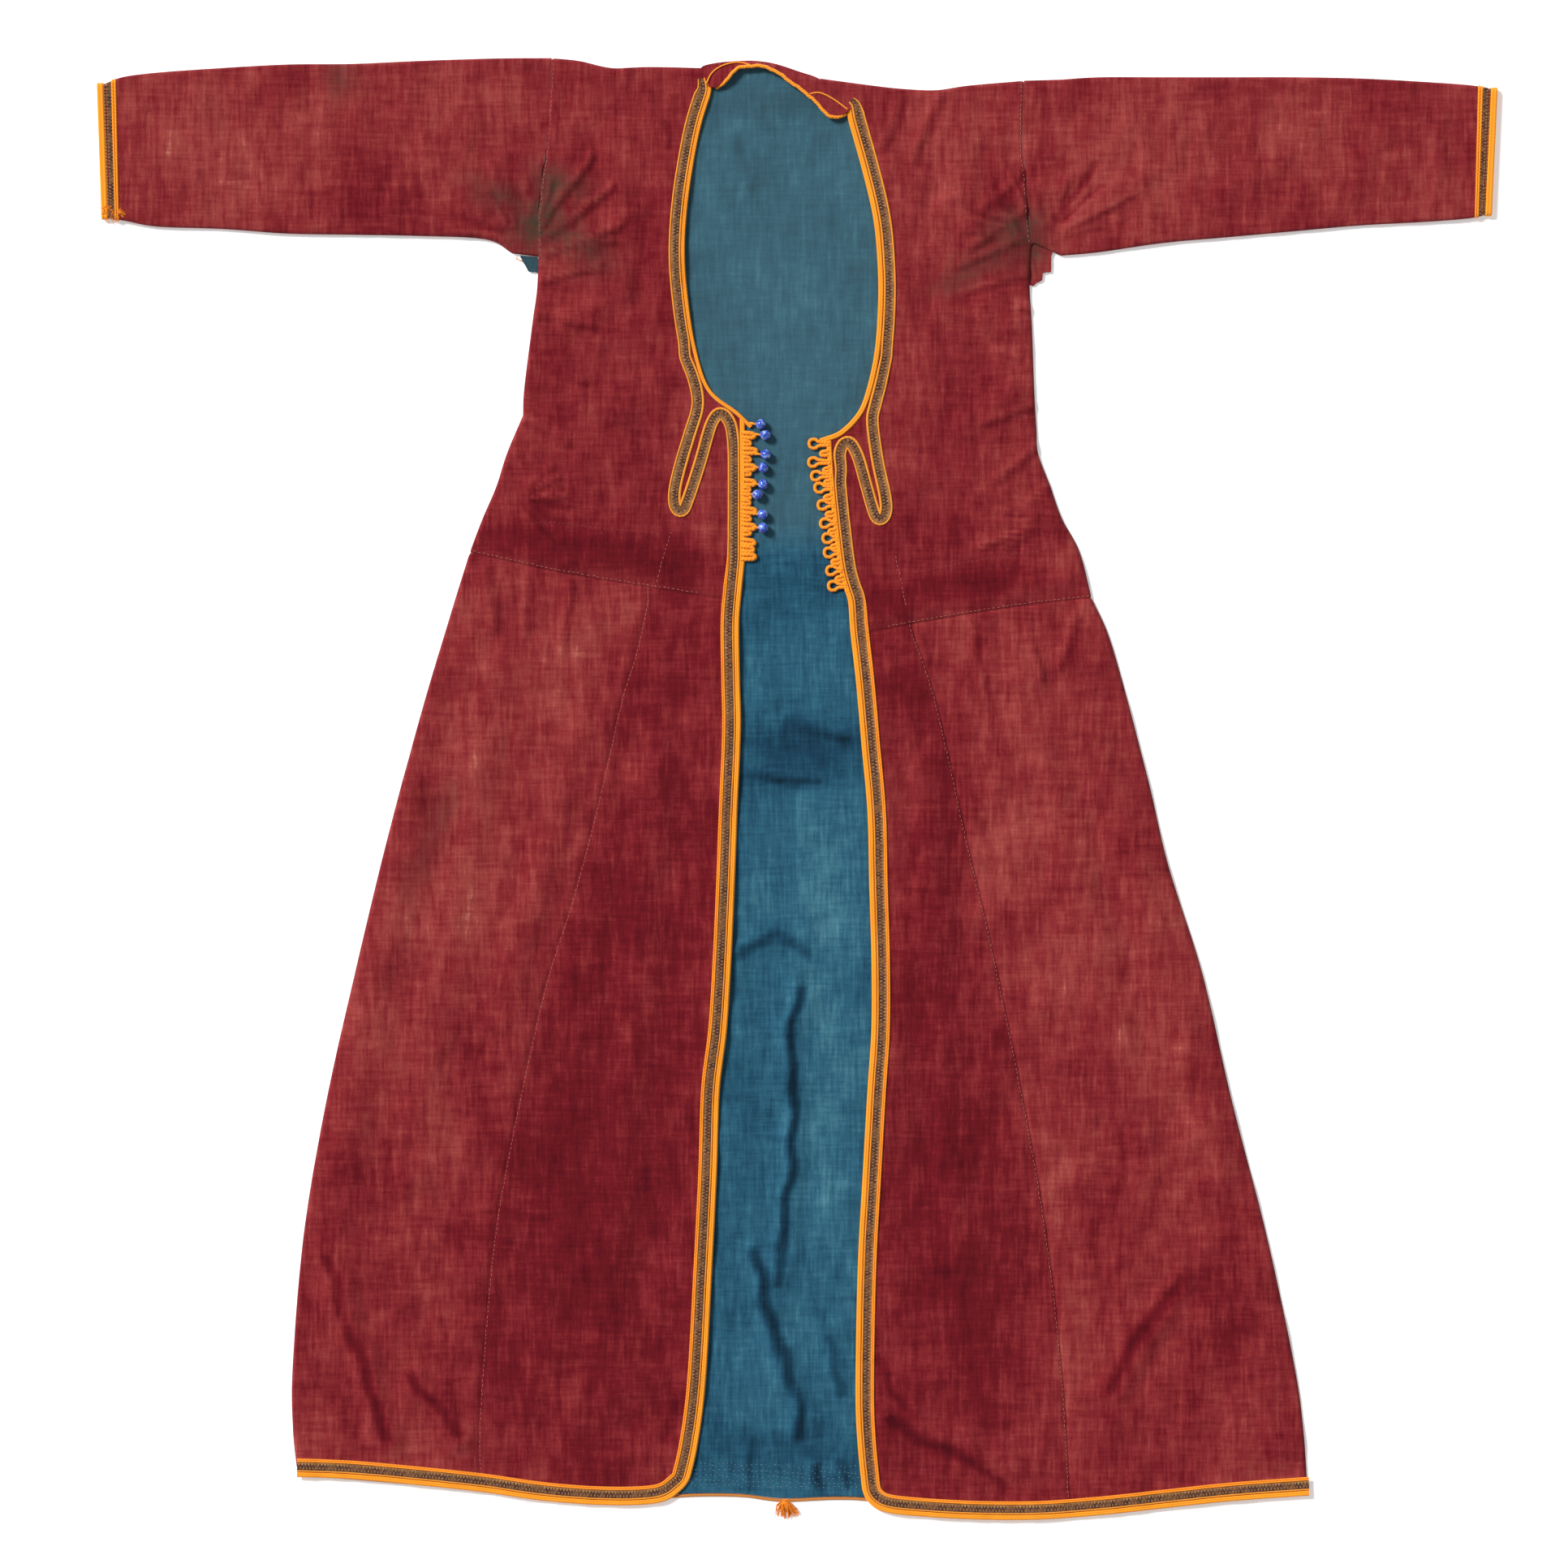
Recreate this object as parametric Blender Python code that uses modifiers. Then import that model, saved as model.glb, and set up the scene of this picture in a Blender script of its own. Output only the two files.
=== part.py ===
# A long open-fronted coat with sleeves, laid flat on a surface with its front up.
# Lengths in the tables are millimetres. +X is to the right as seen from above, +Y is
# towards the neck and +Z is up. The origin is on the surface, under the middle of the coat.
# Left and right are as seen from above.

import math

import bmesh
import bpy
from mathutils import Matrix, Vector
from mathutils.bvhtree import BVHTree

MM = 0.001

# Heights of the layers above the surface
BACK_THICKNESS = 1.2
LINING_BOTTOM = 1.5
LINING_THICKNESS = 1.0
FRONT_BOTTOM = 2.8
FRONT_THICKNESS = 1.6
SLEEVE_WALL = 1.4

# Small clearances
GAP = 0.3
SEAM_GAP = 0.5
ROLL_RADIUS = 2.4
ROLL_STEPS = (0.0, 0.8, 2.0)
BACK_INSET = 3.2
LINING_INSET = 6.0
# Where the trims of the neck start and how far they run on past its last corner
NECK_TRIM_TOP_LEFT = 602.0
NECK_TRIM_TOP_RIGHT = 581.5
NECK_TRIM_END_LEFT = 8.0
NECK_TRIM_END_RIGHT = 10.0
TONGUE_START_Y = 385.0
CORNER_CLEAR = 14.0
FRILL_GAP = 1.2

# Widths of the trims
NECK_BRAID_LEFT = 3.6
NECK_BRAID_RIGHT = 4.8
FRONT_BRAID = 4.8
BRAID_HEIGHT = 2.3
TAPE_WIDTH = 9.0
TAPE_HEIGHT = 0.8
TAPE_CORD_HEIGHT = 1.3
TAPE_CORD_WIDTH = 1.5
CUFF_BRAID = 7.0
CUFF_TAPE = 9.0
CUFF_TAPE_THICKNESS = 1.0
HEM_CORD = 4.0
HEM_CORD_HEIGHT = 2.1

BEAD_DIAMETER = 9.0
LOOP_RADIUS = 3.35
LOOP_CORD_RADIUS = 1.4
COLLAR_CORD_RADIUS = 1.2
COLLAR_CORD_WAVE = 0.4
COLLAR_THICKNESS = 1.2
GUSSET_THICKNESS = 3.6
SCRAP_THICKNESS = 2.4

# How many steps the grids of cloth have
BODICE_ROWS = (8, 8, 8)
SKIRT_ROWS = 18
FRONT_COLUMNS = 4
SIDE_COLUMNS = 7
OUTLINE_STEPS = (4, 5, 6, 12)
SHOULDER_STEPS = 26
HEM_STEPS = 22
BOW_STEPS = 40
SEAM_STEPS = 24
TRIM_STEP = 2.1

# Edges of the fronts on their free side: (x, y) from the neck down
NECK_EDGE_LEFT = (
    (-72.5, 603.0), (-82.2, 572.2), (-89.2, 536.5), (-94.1, 500.8), (-96.2, 465.1),
    (-94.1, 429.4), (-87.5, 384.6), (-75.2, 346.1), (-53.5, 327.9), (-45.0, 323.2),
)
NECK_EDGE_RIGHT = (
    (43.5, 580.0), (57.0, 531.6), (66.1, 491.7), (69.6, 456.0), (70.3, 420.3),
    (66.8, 374.1), (57.0, 334.0), (46.5, 317.4), (34.0, 306.5),
)
NECK_TOP_LEFT = ((-80.5, 622.0), (-78.5, 612.0))
NECK_TOP_RIGHT = ((20.0, 613.0), (35.5, 601.0), (48.0, 589.0))
FRILL_EDGE_LEFT = ((-44.4, 319.0), (-44.2, 260.8), (-44.4, 197.8))
FRILL_EDGE_RIGHT = ((25.3, 301.0), (28.2, 260.8), (31.8, 225.7), (36.2, 190.8), (41.0, 172.0))
FRONT_EDGE_LEFT = (
    (-44.4, 197.8), (-47.2, 169.8), (-49.3, 141.8), (-48.6, 92.8), (-47.9, 50.8),
    (-50.8, -19.2), (-53.1, -81.5), (-55.9, -144.5), (-59.8, -206.8), (-66.1, -260.1),
    (-68.5, -331.4), (-72.4, -409.8), (-78.0, -509.2), (-85.0, -565.2), (-94.1, -604.4),
)
FRONT_EDGE_RIGHT = (
    (41.0, 172.0), (44.4, 161.3), (46.3, 136.1), (51.4, 89.9), (56.1, 36.3),
    (61.0, -19.2), (62.6, -81.5), (64.4, -143.8), (64.4, -206.8), (61.0, -260.1),
    (57.0, -331.4), (52.8, -409.8), (50.8, -509.2), (52.1, -558.2), (57.4, -614.2),
)
WAIST_LEFT_AT = 162.0
WAIST_RIGHT_AT = 133.0

# Outer outlines: (x, y)
SHOULDER_LEFT = ((-80.0, 622.0), (-127.0, 623.0), (-159.0, 622.0), (-187.0, 628.0), (-211.0, 630.5))
SHOULDER_RIGHT = (
    (20.0, 613.0), (65.0, 607.0), (93.0, 604.0), (121.0, 603.0), (149.0, 607.0), (196.0, 611.0),
)
ARMHOLE_LEFT = ((-211.0, 630.5), (-216.0, 555.0), (-220.0, 528.0), (-223.5, 490.0), (-222.5, 459.0))
ARMHOLE_RIGHT = ((196.0, 611.0), (195.0, 555.0), (198.0, 528.0), (200.0, 495.0), (203.0, 471.0))
UNDERARM_LEFT = ((-222.5, 459.0), (-224.0, 430.0), (-228.0, 401.0), (-235.0, 345.0), (-236.0, 322.0))
UNDERARM_RIGHT = ((203.0, 471.0), (201.0, 436.0), (203.0, 401.0), (205.0, 345.0), (207.0, 310.0))
SIDE_LEFT = (
    (-236.0, 322.0), (-250.0, 289.0), (-259.0, 261.0), (-271.0, 233.0), (-282.0, 204.0),
)
SIDE_RIGHT = ((207.0, 310.0), (208.5, 289.0), (219.0, 261.0), (229.0, 233.0), (244.0, 205.0), (254.5, 165.0))
SKIRT_SIDE_LEFT = (
    (-282.0, 204.0), (-299.0, 149.0), (-324.0, 65.0), (-354.0, -47.0), (-381.0, -159.0),
    (-406.0, -271.0), (-425.0, -383.0), (-434.5, -495.0), (-434.5, -551.0), (-430.0, -593.0),
)
SKIRT_SIDE_RIGHT = (
    (254.5, 165.0), (273.0, 121.0), (303.0, 9.0), (321.0, -67.0), (350.0, -159.0),
    (376.0, -271.0), (405.0, -383.0), (429.0, -495.0), (437.0, -551.0), (441.0, -609.0),
)
WAIST_LEFT = ((-54.0, 163.0), (-130.0, 174.5), (-206.0, 187.5), (-282.0, 204.0))
WAIST_RIGHT = ((51.0, 133.5), (119.0, 146.0), (187.0, 157.0), (254.5, 165.0))
HEM_LEFT = (
    (-94.0, -604.0), (-114.0, -616.0), (-159.0, -618.0), (-215.0, -614.0), (-271.0, -606.0),
    (-327.0, -600.0), (-383.0, -595.0), (-430.0, -593.0),
)
HEM_RIGHT = (
    (57.0, -614.0), (68.0, -623.0), (93.0, -627.0), (149.0, -630.0), (205.0, -630.0),
    (261.0, -626.0), (317.0, -620.0), (373.0, -614.0), (441.0, -609.0),
)
BACK_NECK = ((-64.0, 624.0), (-36.0, 627.0), (-14.0, 623.5), (4.0, 617.0))
BACK_BOTTOM = (
    (-426.0, -589.0), (-271.0, -602.0), (-159.0, -612.0), (-95.0, -607.5), (-48.0, -607.5),
    (-12.0, -611.5), (56.0, -610.5), (149.0, -624.0), (261.0, -621.0), (437.0, -605.0),
)

LEFT_OUTLINE = (ARMHOLE_LEFT, UNDERARM_LEFT, SIDE_LEFT, SKIRT_SIDE_LEFT)
RIGHT_OUTLINE = (ARMHOLE_RIGHT, UNDERARM_RIGHT, SIDE_RIGHT, SKIRT_SIDE_RIGHT)
SIDE_INSETS = (BACK_INSET, SEAM_GAP * 2)
# Where the lining's lines of points run down it, closest together between the fronts
LINING_COLUMNS = (-165.0, -104.0, -68.0, -46.0, -32.0, -20.0, -9.0, 4.0, 18.0, 34.0, 54.0, 100.0)

# Seams between the front and the flared side piece of each skirt: (x, y) from the waist down
GORE_LEFT = (
    (-127.0, 174.0), (-138.0, 121.0), (-152.0, 75.0), (-171.0, -9.0), (-194.0, -96.0),
    (-219.0, -177.0), (-250.0, -320.0), (-264.0, -411.0), (-274.0, -544.0), (-273.0, -606.0),
)
GORE_RIGHT = (
    (98.0, 142.0), (118.0, 86.0), (133.0, 23.0), (149.0, -51.0), (168.0, -131.0),
    (194.0, -257.0), (216.0, -383.0), (230.0, -509.0), (237.0, -628.5),
)

# Sections across the sleeves: x and y at the shoulder side, x and y at the underarm side,
# height of the underside, height of the top
SLEEVE_LEFT = (
    (-596.0, 608.0, -592.0, 492.0, 1.5, 6.0),
    (-581.0, 614.0, -579.0, 490.0, 1.5, 6.0),
    (-551.0, 618.0, -551.0, 485.0, 0.0, 5.6),
    (-495.0, 622.0, -495.0, 483.0, 0.0, 5.0),
    (-439.0, 625.0, -439.0, 479.0, 0.0, 5.4),
    (-383.0, 625.5, -383.0, 478.0, 0.0, 5.0),
    (-327.0, 628.0, -327.0, 477.0, 0.0, 5.4),
    (-268.0, 630.0, -268.0, 474.0, 0.0, 4.8),
    (-239.0, 630.5, -245.0, 462.0, 0.0, 4.5),
)
SLEEVE_RIGHT = (
    (597.0, 604.0, 592.0, 495.0, 1.5, 6.0),
    (581.0, 607.0, 579.0, 492.0, 1.5, 6.0),
    (541.0, 610.0, 541.0, 489.0, 0.0, 5.6),
    (485.0, 613.0, 485.0, 486.0, 0.0, 5.0),
    (429.0, 614.0, 429.0, 481.0, 0.0, 5.4),
    (373.0, 614.0, 373.0, 476.0, 0.0, 5.0),
    (317.0, 614.0, 317.0, 471.0, 0.0, 5.4),
    (261.0, 614.0, 261.0, 463.0, 0.0, 4.8),
    (228.0, 612.0, 228.0, 460.0, 0.0, 4.5),
)

# Folds of the outer cloth: x and y of each end, half width, height
FRONT_FOLDS = (
    (-406.0, -399.0, -352.0, -562.0, 20.0, 2.2),
    (-329.0, -509.0, -289.0, -559.0, 18.0, 1.8),
    (331.0, -425.0, 271.0, -519.0, 20.0, 2.0),
    (79.0, -536.0, 182.0, -590.0, 20.0, 1.4),
    (-335.0, 0.0, -390.0, -320.0, 30.0, 1.6),
    (-262.0, 90.0, -330.0, -330.0, 28.0, 1.4),
    (-185.0, 60.0, -255.0, -200.0, 24.0, 1.2),
    (-120.0, 70.0, -160.0, -440.0, 26.0, 1.4),
    (200.0, 90.0, 300.0, -330.0, 28.0, 1.4),
    (262.0, 40.0, 365.0, -330.0, 28.0, 1.6),
    (110.0, 20.0, 140.0, -440.0, 24.0, 1.2),
    (-200.0, 400.0, -150.0, 430.0, 18.0, 1.0),
    (-195.0, 455.0, -140.0, 500.0, 18.0, 1.4),
    (-200.0, 350.0, -150.0, 320.0, 18.0, 1.0),
    (-160.0, 560.0, -140.0, 480.0, 22.0, 1.0),
    (175.0, 450.0, 130.0, 500.0, 18.0, 1.4),
    (180.0, 400.0, 130.0, 420.0, 18.0, 1.0),
    (182.0, 340.0, 140.0, 310.0, 18.0, 1.0),
    (150.0, 560.0, 135.0, 490.0, 22.0, 1.0),
    (-66.0, 130.0, -66.0, 10.0, 40.0, 1.2),
    (-70.0, -90.0, -80.0, -240.0, 40.0, 1.8),
    (-88.0, -350.0, -94.0, -500.0, 38.0, 1.2),
    (66.0, 90.0, 74.0, -60.0, 40.0, 1.4),
    (78.0, -150.0, 76.0, -290.0, 40.0, 1.6),
    (-108.0, 520.0, -108.0, 420.0, 34.0, 1.0),
    (86.0, 520.0, 88.0, 420.0, 34.0, 1.2),
)
# The tuck above each waist seam: x and y of each end, half width, height
WAIST_TUCKS = (
    (-70.0, 178.0, -160.0, 194.0, 17.0, 1.3),
    (-160.0, 194.0, -250.0, 208.0, 17.0, 1.3),
    (66.0, 149.0, 150.0, 166.0, 17.0, 1.3),
    (150.0, 166.0, 225.0, 180.0, 17.0, 1.3),
)
# Folds of the lining between the fronts
LINING_FOLDS = (
    (-3.0, -165.0, -8.0, -330.0, 24.0, 2.6),
    (-8.0, -330.0, -16.0, -420.0, 24.0, 2.2),
    (-34.0, -400.0, -14.0, -500.0, 22.0, 1.8),
    (-14.0, -500.0, -2.0, -550.0, 22.0, 1.6),
    (-28.0, -125.0, 0.0, -128.0, 22.0, 1.4),
)
# Wrinkles of the sleeves
SLEEVE_FOLDS = (
    (-250.0, 490.0, -320.0, 540.0, 20.0, 1.6),
    (-255.0, 520.0, -300.0, 590.0, 20.0, 1.2),
    (-360.0, 500.0, -430.0, 560.0, 22.0, 1.2),
    (-470.0, 500.0, -520.0, 590.0, 22.0, 1.2),
    (240.0, 490.0, 310.0, 535.0, 20.0, 1.6),
    (245.0, 520.0, 290.0, 580.0, 20.0, 1.2),
    (350.0, 495.0, 420.0, 550.0, 22.0, 1.2),
    (460.0, 500.0, 520.0, 580.0, 22.0, 1.2),
)

# Middle line of each tape where it leaves the edge for the hairpin on the breast: (x, y)
TONGUE_LEFT = (
    (-96.0, 372.8), (-88.0, 352.0), (-85.0, 330.8), (-92.0, 306.2), (-98.7, 283.8), (-104.2, 262.0),
    (-105.2, 248.1), (-102.5, 240.6), (-97.6, 240.6), (-94.2, 248.5), (-90.6, 258.6),
    (-82.6, 283.8), (-76.2, 307.0), (-71.8, 317.0), (-65.0, 320.0), (-58.5, 316.0), (-54.6, 305.0),
    (-54.2, 292.0),
)
TONGUE_RIGHT = (
    (77.4, 372.8), (72.6, 350.0), (68.0, 332.0), (65.4, 316.8), (69.8, 283.5), (76.0, 254.3),
    (77.2, 240.3), (74.0, 233.2), (69.6, 233.4), (66.2, 241.1), (61.6, 257.2),
    (54.6, 282.5), (50.4, 293.0), (45.0, 297.0), (39.4, 294.0), (37.4, 286.0), (38.4, 275.0),
)

COLLAR_OUTER = (
    (-73.6, 606.0), (-71.0, 616.0), (-64.0, 623.0), (-53.5, 626.8), (-36.0, 627.2), (-18.5, 624.8),
    (2.4, 617.0), (16.0, 610.5), (31.0, 599.5), (42.0, 589.5),
)
COLLAR_CORD = (
    (-69.0, 604.4), (-62.6, 608.6), (-54.5, 618.0), (-46.0, 622.6), (-28.0, 622.6), (-16.4, 617.4),
    (-1.8, 607.0), (12.2, 596.4), (22.0, 586.2), (29.7, 579.2), (39.5, 581.0),
)
COLLAR_EDGE_HEIGHTS = (3.2, 6.8)

BEADS = (
    (-30.9, 314.6), (-27.0, 305.3), (-26.6, 288.5), (-28.8, 277.2),
    (-28.8, 262.8), (-33.6, 254.0), (-29.3, 236.9), (-28.8, 225.3),
)
LOOPS = (
    (14.3, 297.5), (13.9, 282.0), (16.4, 270.2), (19.2, 259.5), (22.0, 245.0),
    (24.1, 229.5), (26.2, 216.1), (27.4, 203.8), (29.5, 188.7), (31.0, 175.2),
)
# Cord teeth of the frill: y, length beyond the strip, half width
FRILL_TEETH = (
    (305.5, 9.0, 2.9), (299.3, 5.5, 2.4), (291.6, 10.5, 2.9), (285.3, 5.5, 2.4), (277.6, 9.5, 2.9),
    (272.7, 5.5, 2.2), (265.0, 9.5, 2.9), (258.7, 5.0, 2.4), (253.0, 5.5, 2.4), (247.5, 5.0, 2.4),
    (240.8, 10.0, 2.9), (234.2, 5.5, 2.4), (226.5, 9.5, 2.9), (220.9, 5.5, 2.4), (213.5, 9.0, 2.9),
    (207.6, 8.0, 2.9), (200.6, 9.5, 3.0),
)
STRIP_TEETH = (
    (290.0, 6.0, 2.6), (276.2, 4.6, 2.2), (264.8, 4.4, 2.2), (252.3, 5.6, 2.6), (237.2, 5.6, 2.6),
    (222.8, 5.0, 2.4), (210.0, 4.6, 2.2), (196.3, 5.6, 2.6), (182.4, 5.0, 2.4),
)

GUSSET_RIGHT = (
    (204.0, 466.0), (211.0, 458.0), (218.0, 457.5), (218.2, 448.0), (212.0, 441.0), (201.9, 435.5),
)
SCRAP_LEFT = ((-239.0, 460.3), (-231.0, 446.0), (-224.6, 446.0), (-225.2, 458.8))

TASSEL_HEAD = (-10.0, -618.0)
TASSEL_TIP_Y = -630.5
TASSEL_STRANDS = 18

# Colours: base colour, roughness, metallic
COLOURS = {
    "red cotton": ((0.26, 0.022, 0.032), 0.92, 0.0),
    "blue lining": ((0.03, 0.10, 0.17), 0.92, 0.0),
    "orange braid": ((0.92, 0.26, 0.01), 0.75, 0.0),
    "dark tape": ((0.10, 0.05, 0.02), 0.85, 0.0),
    "gold cord": ((0.65, 0.28, 0.06), 0.75, 0.0),
    "blue glass": ((0.10, 0.20, 0.75), 0.15, 0.0),
}


def clear_scene():
    for obj in list(bpy.data.objects):
        bpy.data.objects.remove(obj, do_unlink=True)


def make_material(name):
    colour, roughness, metallic = COLOURS[name]
    material = bpy.data.materials.new(name)
    material.use_nodes = True
    shader = material.node_tree.nodes["Principled BSDF"]
    shader.inputs["Base Color"].default_value = (*colour, 1.0)
    shader.inputs["Roughness"].default_value = roughness
    shader.inputs["Metallic"].default_value = metallic
    return material


def smooth(points, per_span=10):
    """Dense points on a smooth curve through a few points."""
    points = [Vector(p) for p in points]
    ends = [points[0] * 2 - points[1], *points, points[-1] * 2 - points[-2]]
    dense = []
    for i in range(1, len(ends) - 2):
        before, start, end, after = ends[i - 1 : i + 3]
        for step in range(per_span):
            t = step / per_span
            dense.append(
                0.5
                * (
                    2 * start
                    + (end - before) * t
                    + (2 * before - 5 * start + 4 * end - after) * t**2
                    + (3 * start - before - 3 * end + after) * t**3
                )
            )
    return dense + [points[-1]]


def resample(points, count):
    """The same line with count equal steps."""
    lengths = [0.0]
    for a, b in zip(points, points[1:]):
        lengths.append(lengths[-1] + (b - a).length)
    result = []
    at = 0
    for step in range(count + 1):
        wanted = lengths[-1] * step / count
        while at < len(points) - 2 and lengths[at + 1] < wanted:
            at += 1
        part = (wanted - lengths[at]) / max(lengths[at + 1] - lengths[at], 1e-9)
        result.append(points[at].lerp(points[at + 1], min(max(part, 0.0), 1.0)))
    return result


def side_vectors(path):
    """Unit vectors across the path at each point, to its left, lengthened at bends."""
    vectors = []
    for i, _ in enumerate(path):
        before = (path[i] - path[i - 1]).normalized() if i > 0 else None
        after = (path[i + 1] - path[i]).normalized() if i < len(path) - 1 else None
        first = before or after
        second = after or before
        along = (first + second).normalized()
        stretch = 1.0 / max(along.dot(first), 0.5)
        vectors.append(Vector((-along.y, along.x)) * stretch)
    return vectors


def beside(path, distance):
    """The path moved sideways, to its left where distance is positive."""
    return [p + v * distance for p, v in zip(path, side_vectors(path))]


def fold_height(x, y, folds):
    """Height that the tallest nearby ridge adds at a place."""
    tallest = 0.0
    for x0, y0, x1, y1, half_width, height in folds:
        start = Vector((x0, y0))
        along = Vector((x1 - x0, y1 - y0))
        place = Vector((x, y)) - start
        part = min(max(place.dot(along) / along.length_squared, 0.0), 1.0)
        distance = (place - along * part).length
        if distance < half_width:
            tallest = max(tallest, height * math.cos(math.pi / 2 * distance / half_width) ** 2)
    return tallest


def front_bottom(x, y):
    return FRONT_BOTTOM + max(fold_height(x, y, FRONT_FOLDS), fold_height(x, y, WAIST_TUCKS))


def lining_bottom(x, y):
    return LINING_BOTTOM + fold_height(x, y, LINING_FOLDS)


def drop(distance):
    """How far cloth has rolled down at this distance from a rounded edge."""
    if distance >= ROLL_RADIUS:
        return 0.0
    return ROLL_RADIUS - math.sqrt(ROLL_RADIUS**2 - (ROLL_RADIUS - distance) ** 2)


def new_object(name, mesh, material):
    obj = bpy.data.objects.new(name, mesh)
    obj.data.materials.append(material)
    COLLECTION.objects.link(obj)
    return obj


def mesh_from_grid(name, grid, closed_rows=False):
    """A surface through rows of points, in millimetres, facing up or outwards."""
    work = bmesh.new()
    rows = [[work.verts.new(Vector(p) * MM) for p in row] for row in grid]
    last = len(grid[0]) if closed_rows else len(grid[0]) - 1
    for upper, lower in zip(rows, rows[1:]):
        for i in range(last):
            j = (i + 1) % len(upper)
            work.faces.new((upper[i], lower[i], lower[j], upper[j]))
    work.normal_update()
    middle = sum((v.co for v in work.verts), Vector()) / len(work.verts)
    facing = 0.0
    for face in work.faces:
        outward = face.calc_center_median() - middle if closed_rows else Vector((0, 0, 1))
        if closed_rows:
            outward.x = 0.0
        facing += face.normal.dot(outward) * face.calc_area()
    if facing < 0:
        bmesh.ops.reverse_faces(work, faces=work.faces)
    mesh = bpy.data.meshes.new(name)
    work.to_mesh(mesh)
    work.free()
    mesh.shade_smooth()
    mesh.set_sharp_from_angle(angle=math.radians(50))
    return mesh


def thicken(obj, thickness, offset):
    wall = obj.modifiers.new("Wall", "SOLIDIFY")
    wall.thickness = thickness * MM
    wall.offset = offset
    wall.use_even_offset = True


def panel_rows(bands):
    """Inner and outer ends of each row, and whether the row's outer end rolls down."""
    inner, outer, rolled = [], [], []
    for inner_line, outer_line, count, rolls in bands:
        first = 1 if inner else 0
        inner += resample(inner_line, count)[first:]
        outer += resample(outer_line, count)[first:]
        rolled += [rolls] * (count + 1 - first)
    return inner, outer, rolled


def bow_of(line):
    """How far a curved end line lies off the straight line between its ends."""
    points = resample(line, BOW_STEPS)
    return [p - points[0].lerp(points[-1], i / BOW_STEPS) for i, p in enumerate(points)]


def bow_at(bow, across):
    """The bow part way along the line."""
    spot = min(max(across, 0.0), 1.0) * BOW_STEPS
    at = min(int(spot), BOW_STEPS - 1)
    return bow[at].lerp(bow[at + 1], spot - at)


def front_panel(name, bands, top, bottom, columns, rolled_top):
    """A front piece of cloth. Rows run from the free edge outwards. It returns its grid."""
    inner, outer, rolled = panel_rows(bands)
    if rolled_top:
        span = (inner[1] - inner[0]).length
        extra = [step / span for step in ROLL_STEPS[1:]] + [ROLL_RADIUS * 1.3 / span]
        inner[1:1] = [inner[0].lerp(inner[1], part) for part in extra]
        outer[1:1] = [outer[0].lerp(outer[1], part) for part in extra]
        rolled[1:1] = [False] * len(extra)
    bow_top = bow_of(top)
    bow_bottom = bow_of(bottom)
    down = [0.0]
    for a, b in zip(inner, inner[1:]):
        down.append(down[-1] + (b - a).length)
    grid = []
    for row, (start, end) in enumerate(zip(inner, outer)):
        part_down = down[row] / down[-1]
        length = (end - start).length
        outset = FRONT_THICKNESS if rolled[row] else SEAM_GAP / 2
        near = [length - outset - step for step in reversed(ROLL_STEPS)]
        plain = near[0] - ROLL_RADIUS * 0.6
        places = [plain * i / (columns - 1) for i in range(columns)] + near
        line = []
        for place in places:
            across = place / length
            point = start.lerp(end, across)
            point = point + bow_at(bow_top, across) * (1 - part_down)
            point = point + bow_at(bow_bottom, across) * part_down
            from_side = length - outset - place
            lowered = drop(from_side) if rolled[row] else 0.0
            if rolled_top:
                lowered = max(lowered, drop(down[row]))
            line.append([point.x, point.y, lowered])
        grid.append(line)
    first_shift = FRONT_THICKNESS if rolled_top else SEAM_GAP
    for line in grid[: 4 if rolled_top else 1]:
        for point in line:
            point[1] -= first_shift
    for row in grid:
        for point in row:
            point[2] = front_bottom(point[0], point[1]) - point[2]
    for point in grid[-1]:
        point[1] += SEAM_GAP
    obj = new_object(name, mesh_from_grid(name, grid), MATERIALS["red cotton"])
    thicken(obj, FRONT_THICKNESS, 1.0)
    return grid


def split_at(line, y):
    """The parts of a downward line above and below a height."""
    above = [p for p in line if p.y > y + 1.0]
    below = [p for p in line if p.y < y - 1.0]
    part = (above[-1].y - y) / (above[-1].y - below[0].y)
    middle = above[-1].lerp(below[0], part)
    return above + [middle], [middle] + below


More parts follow.
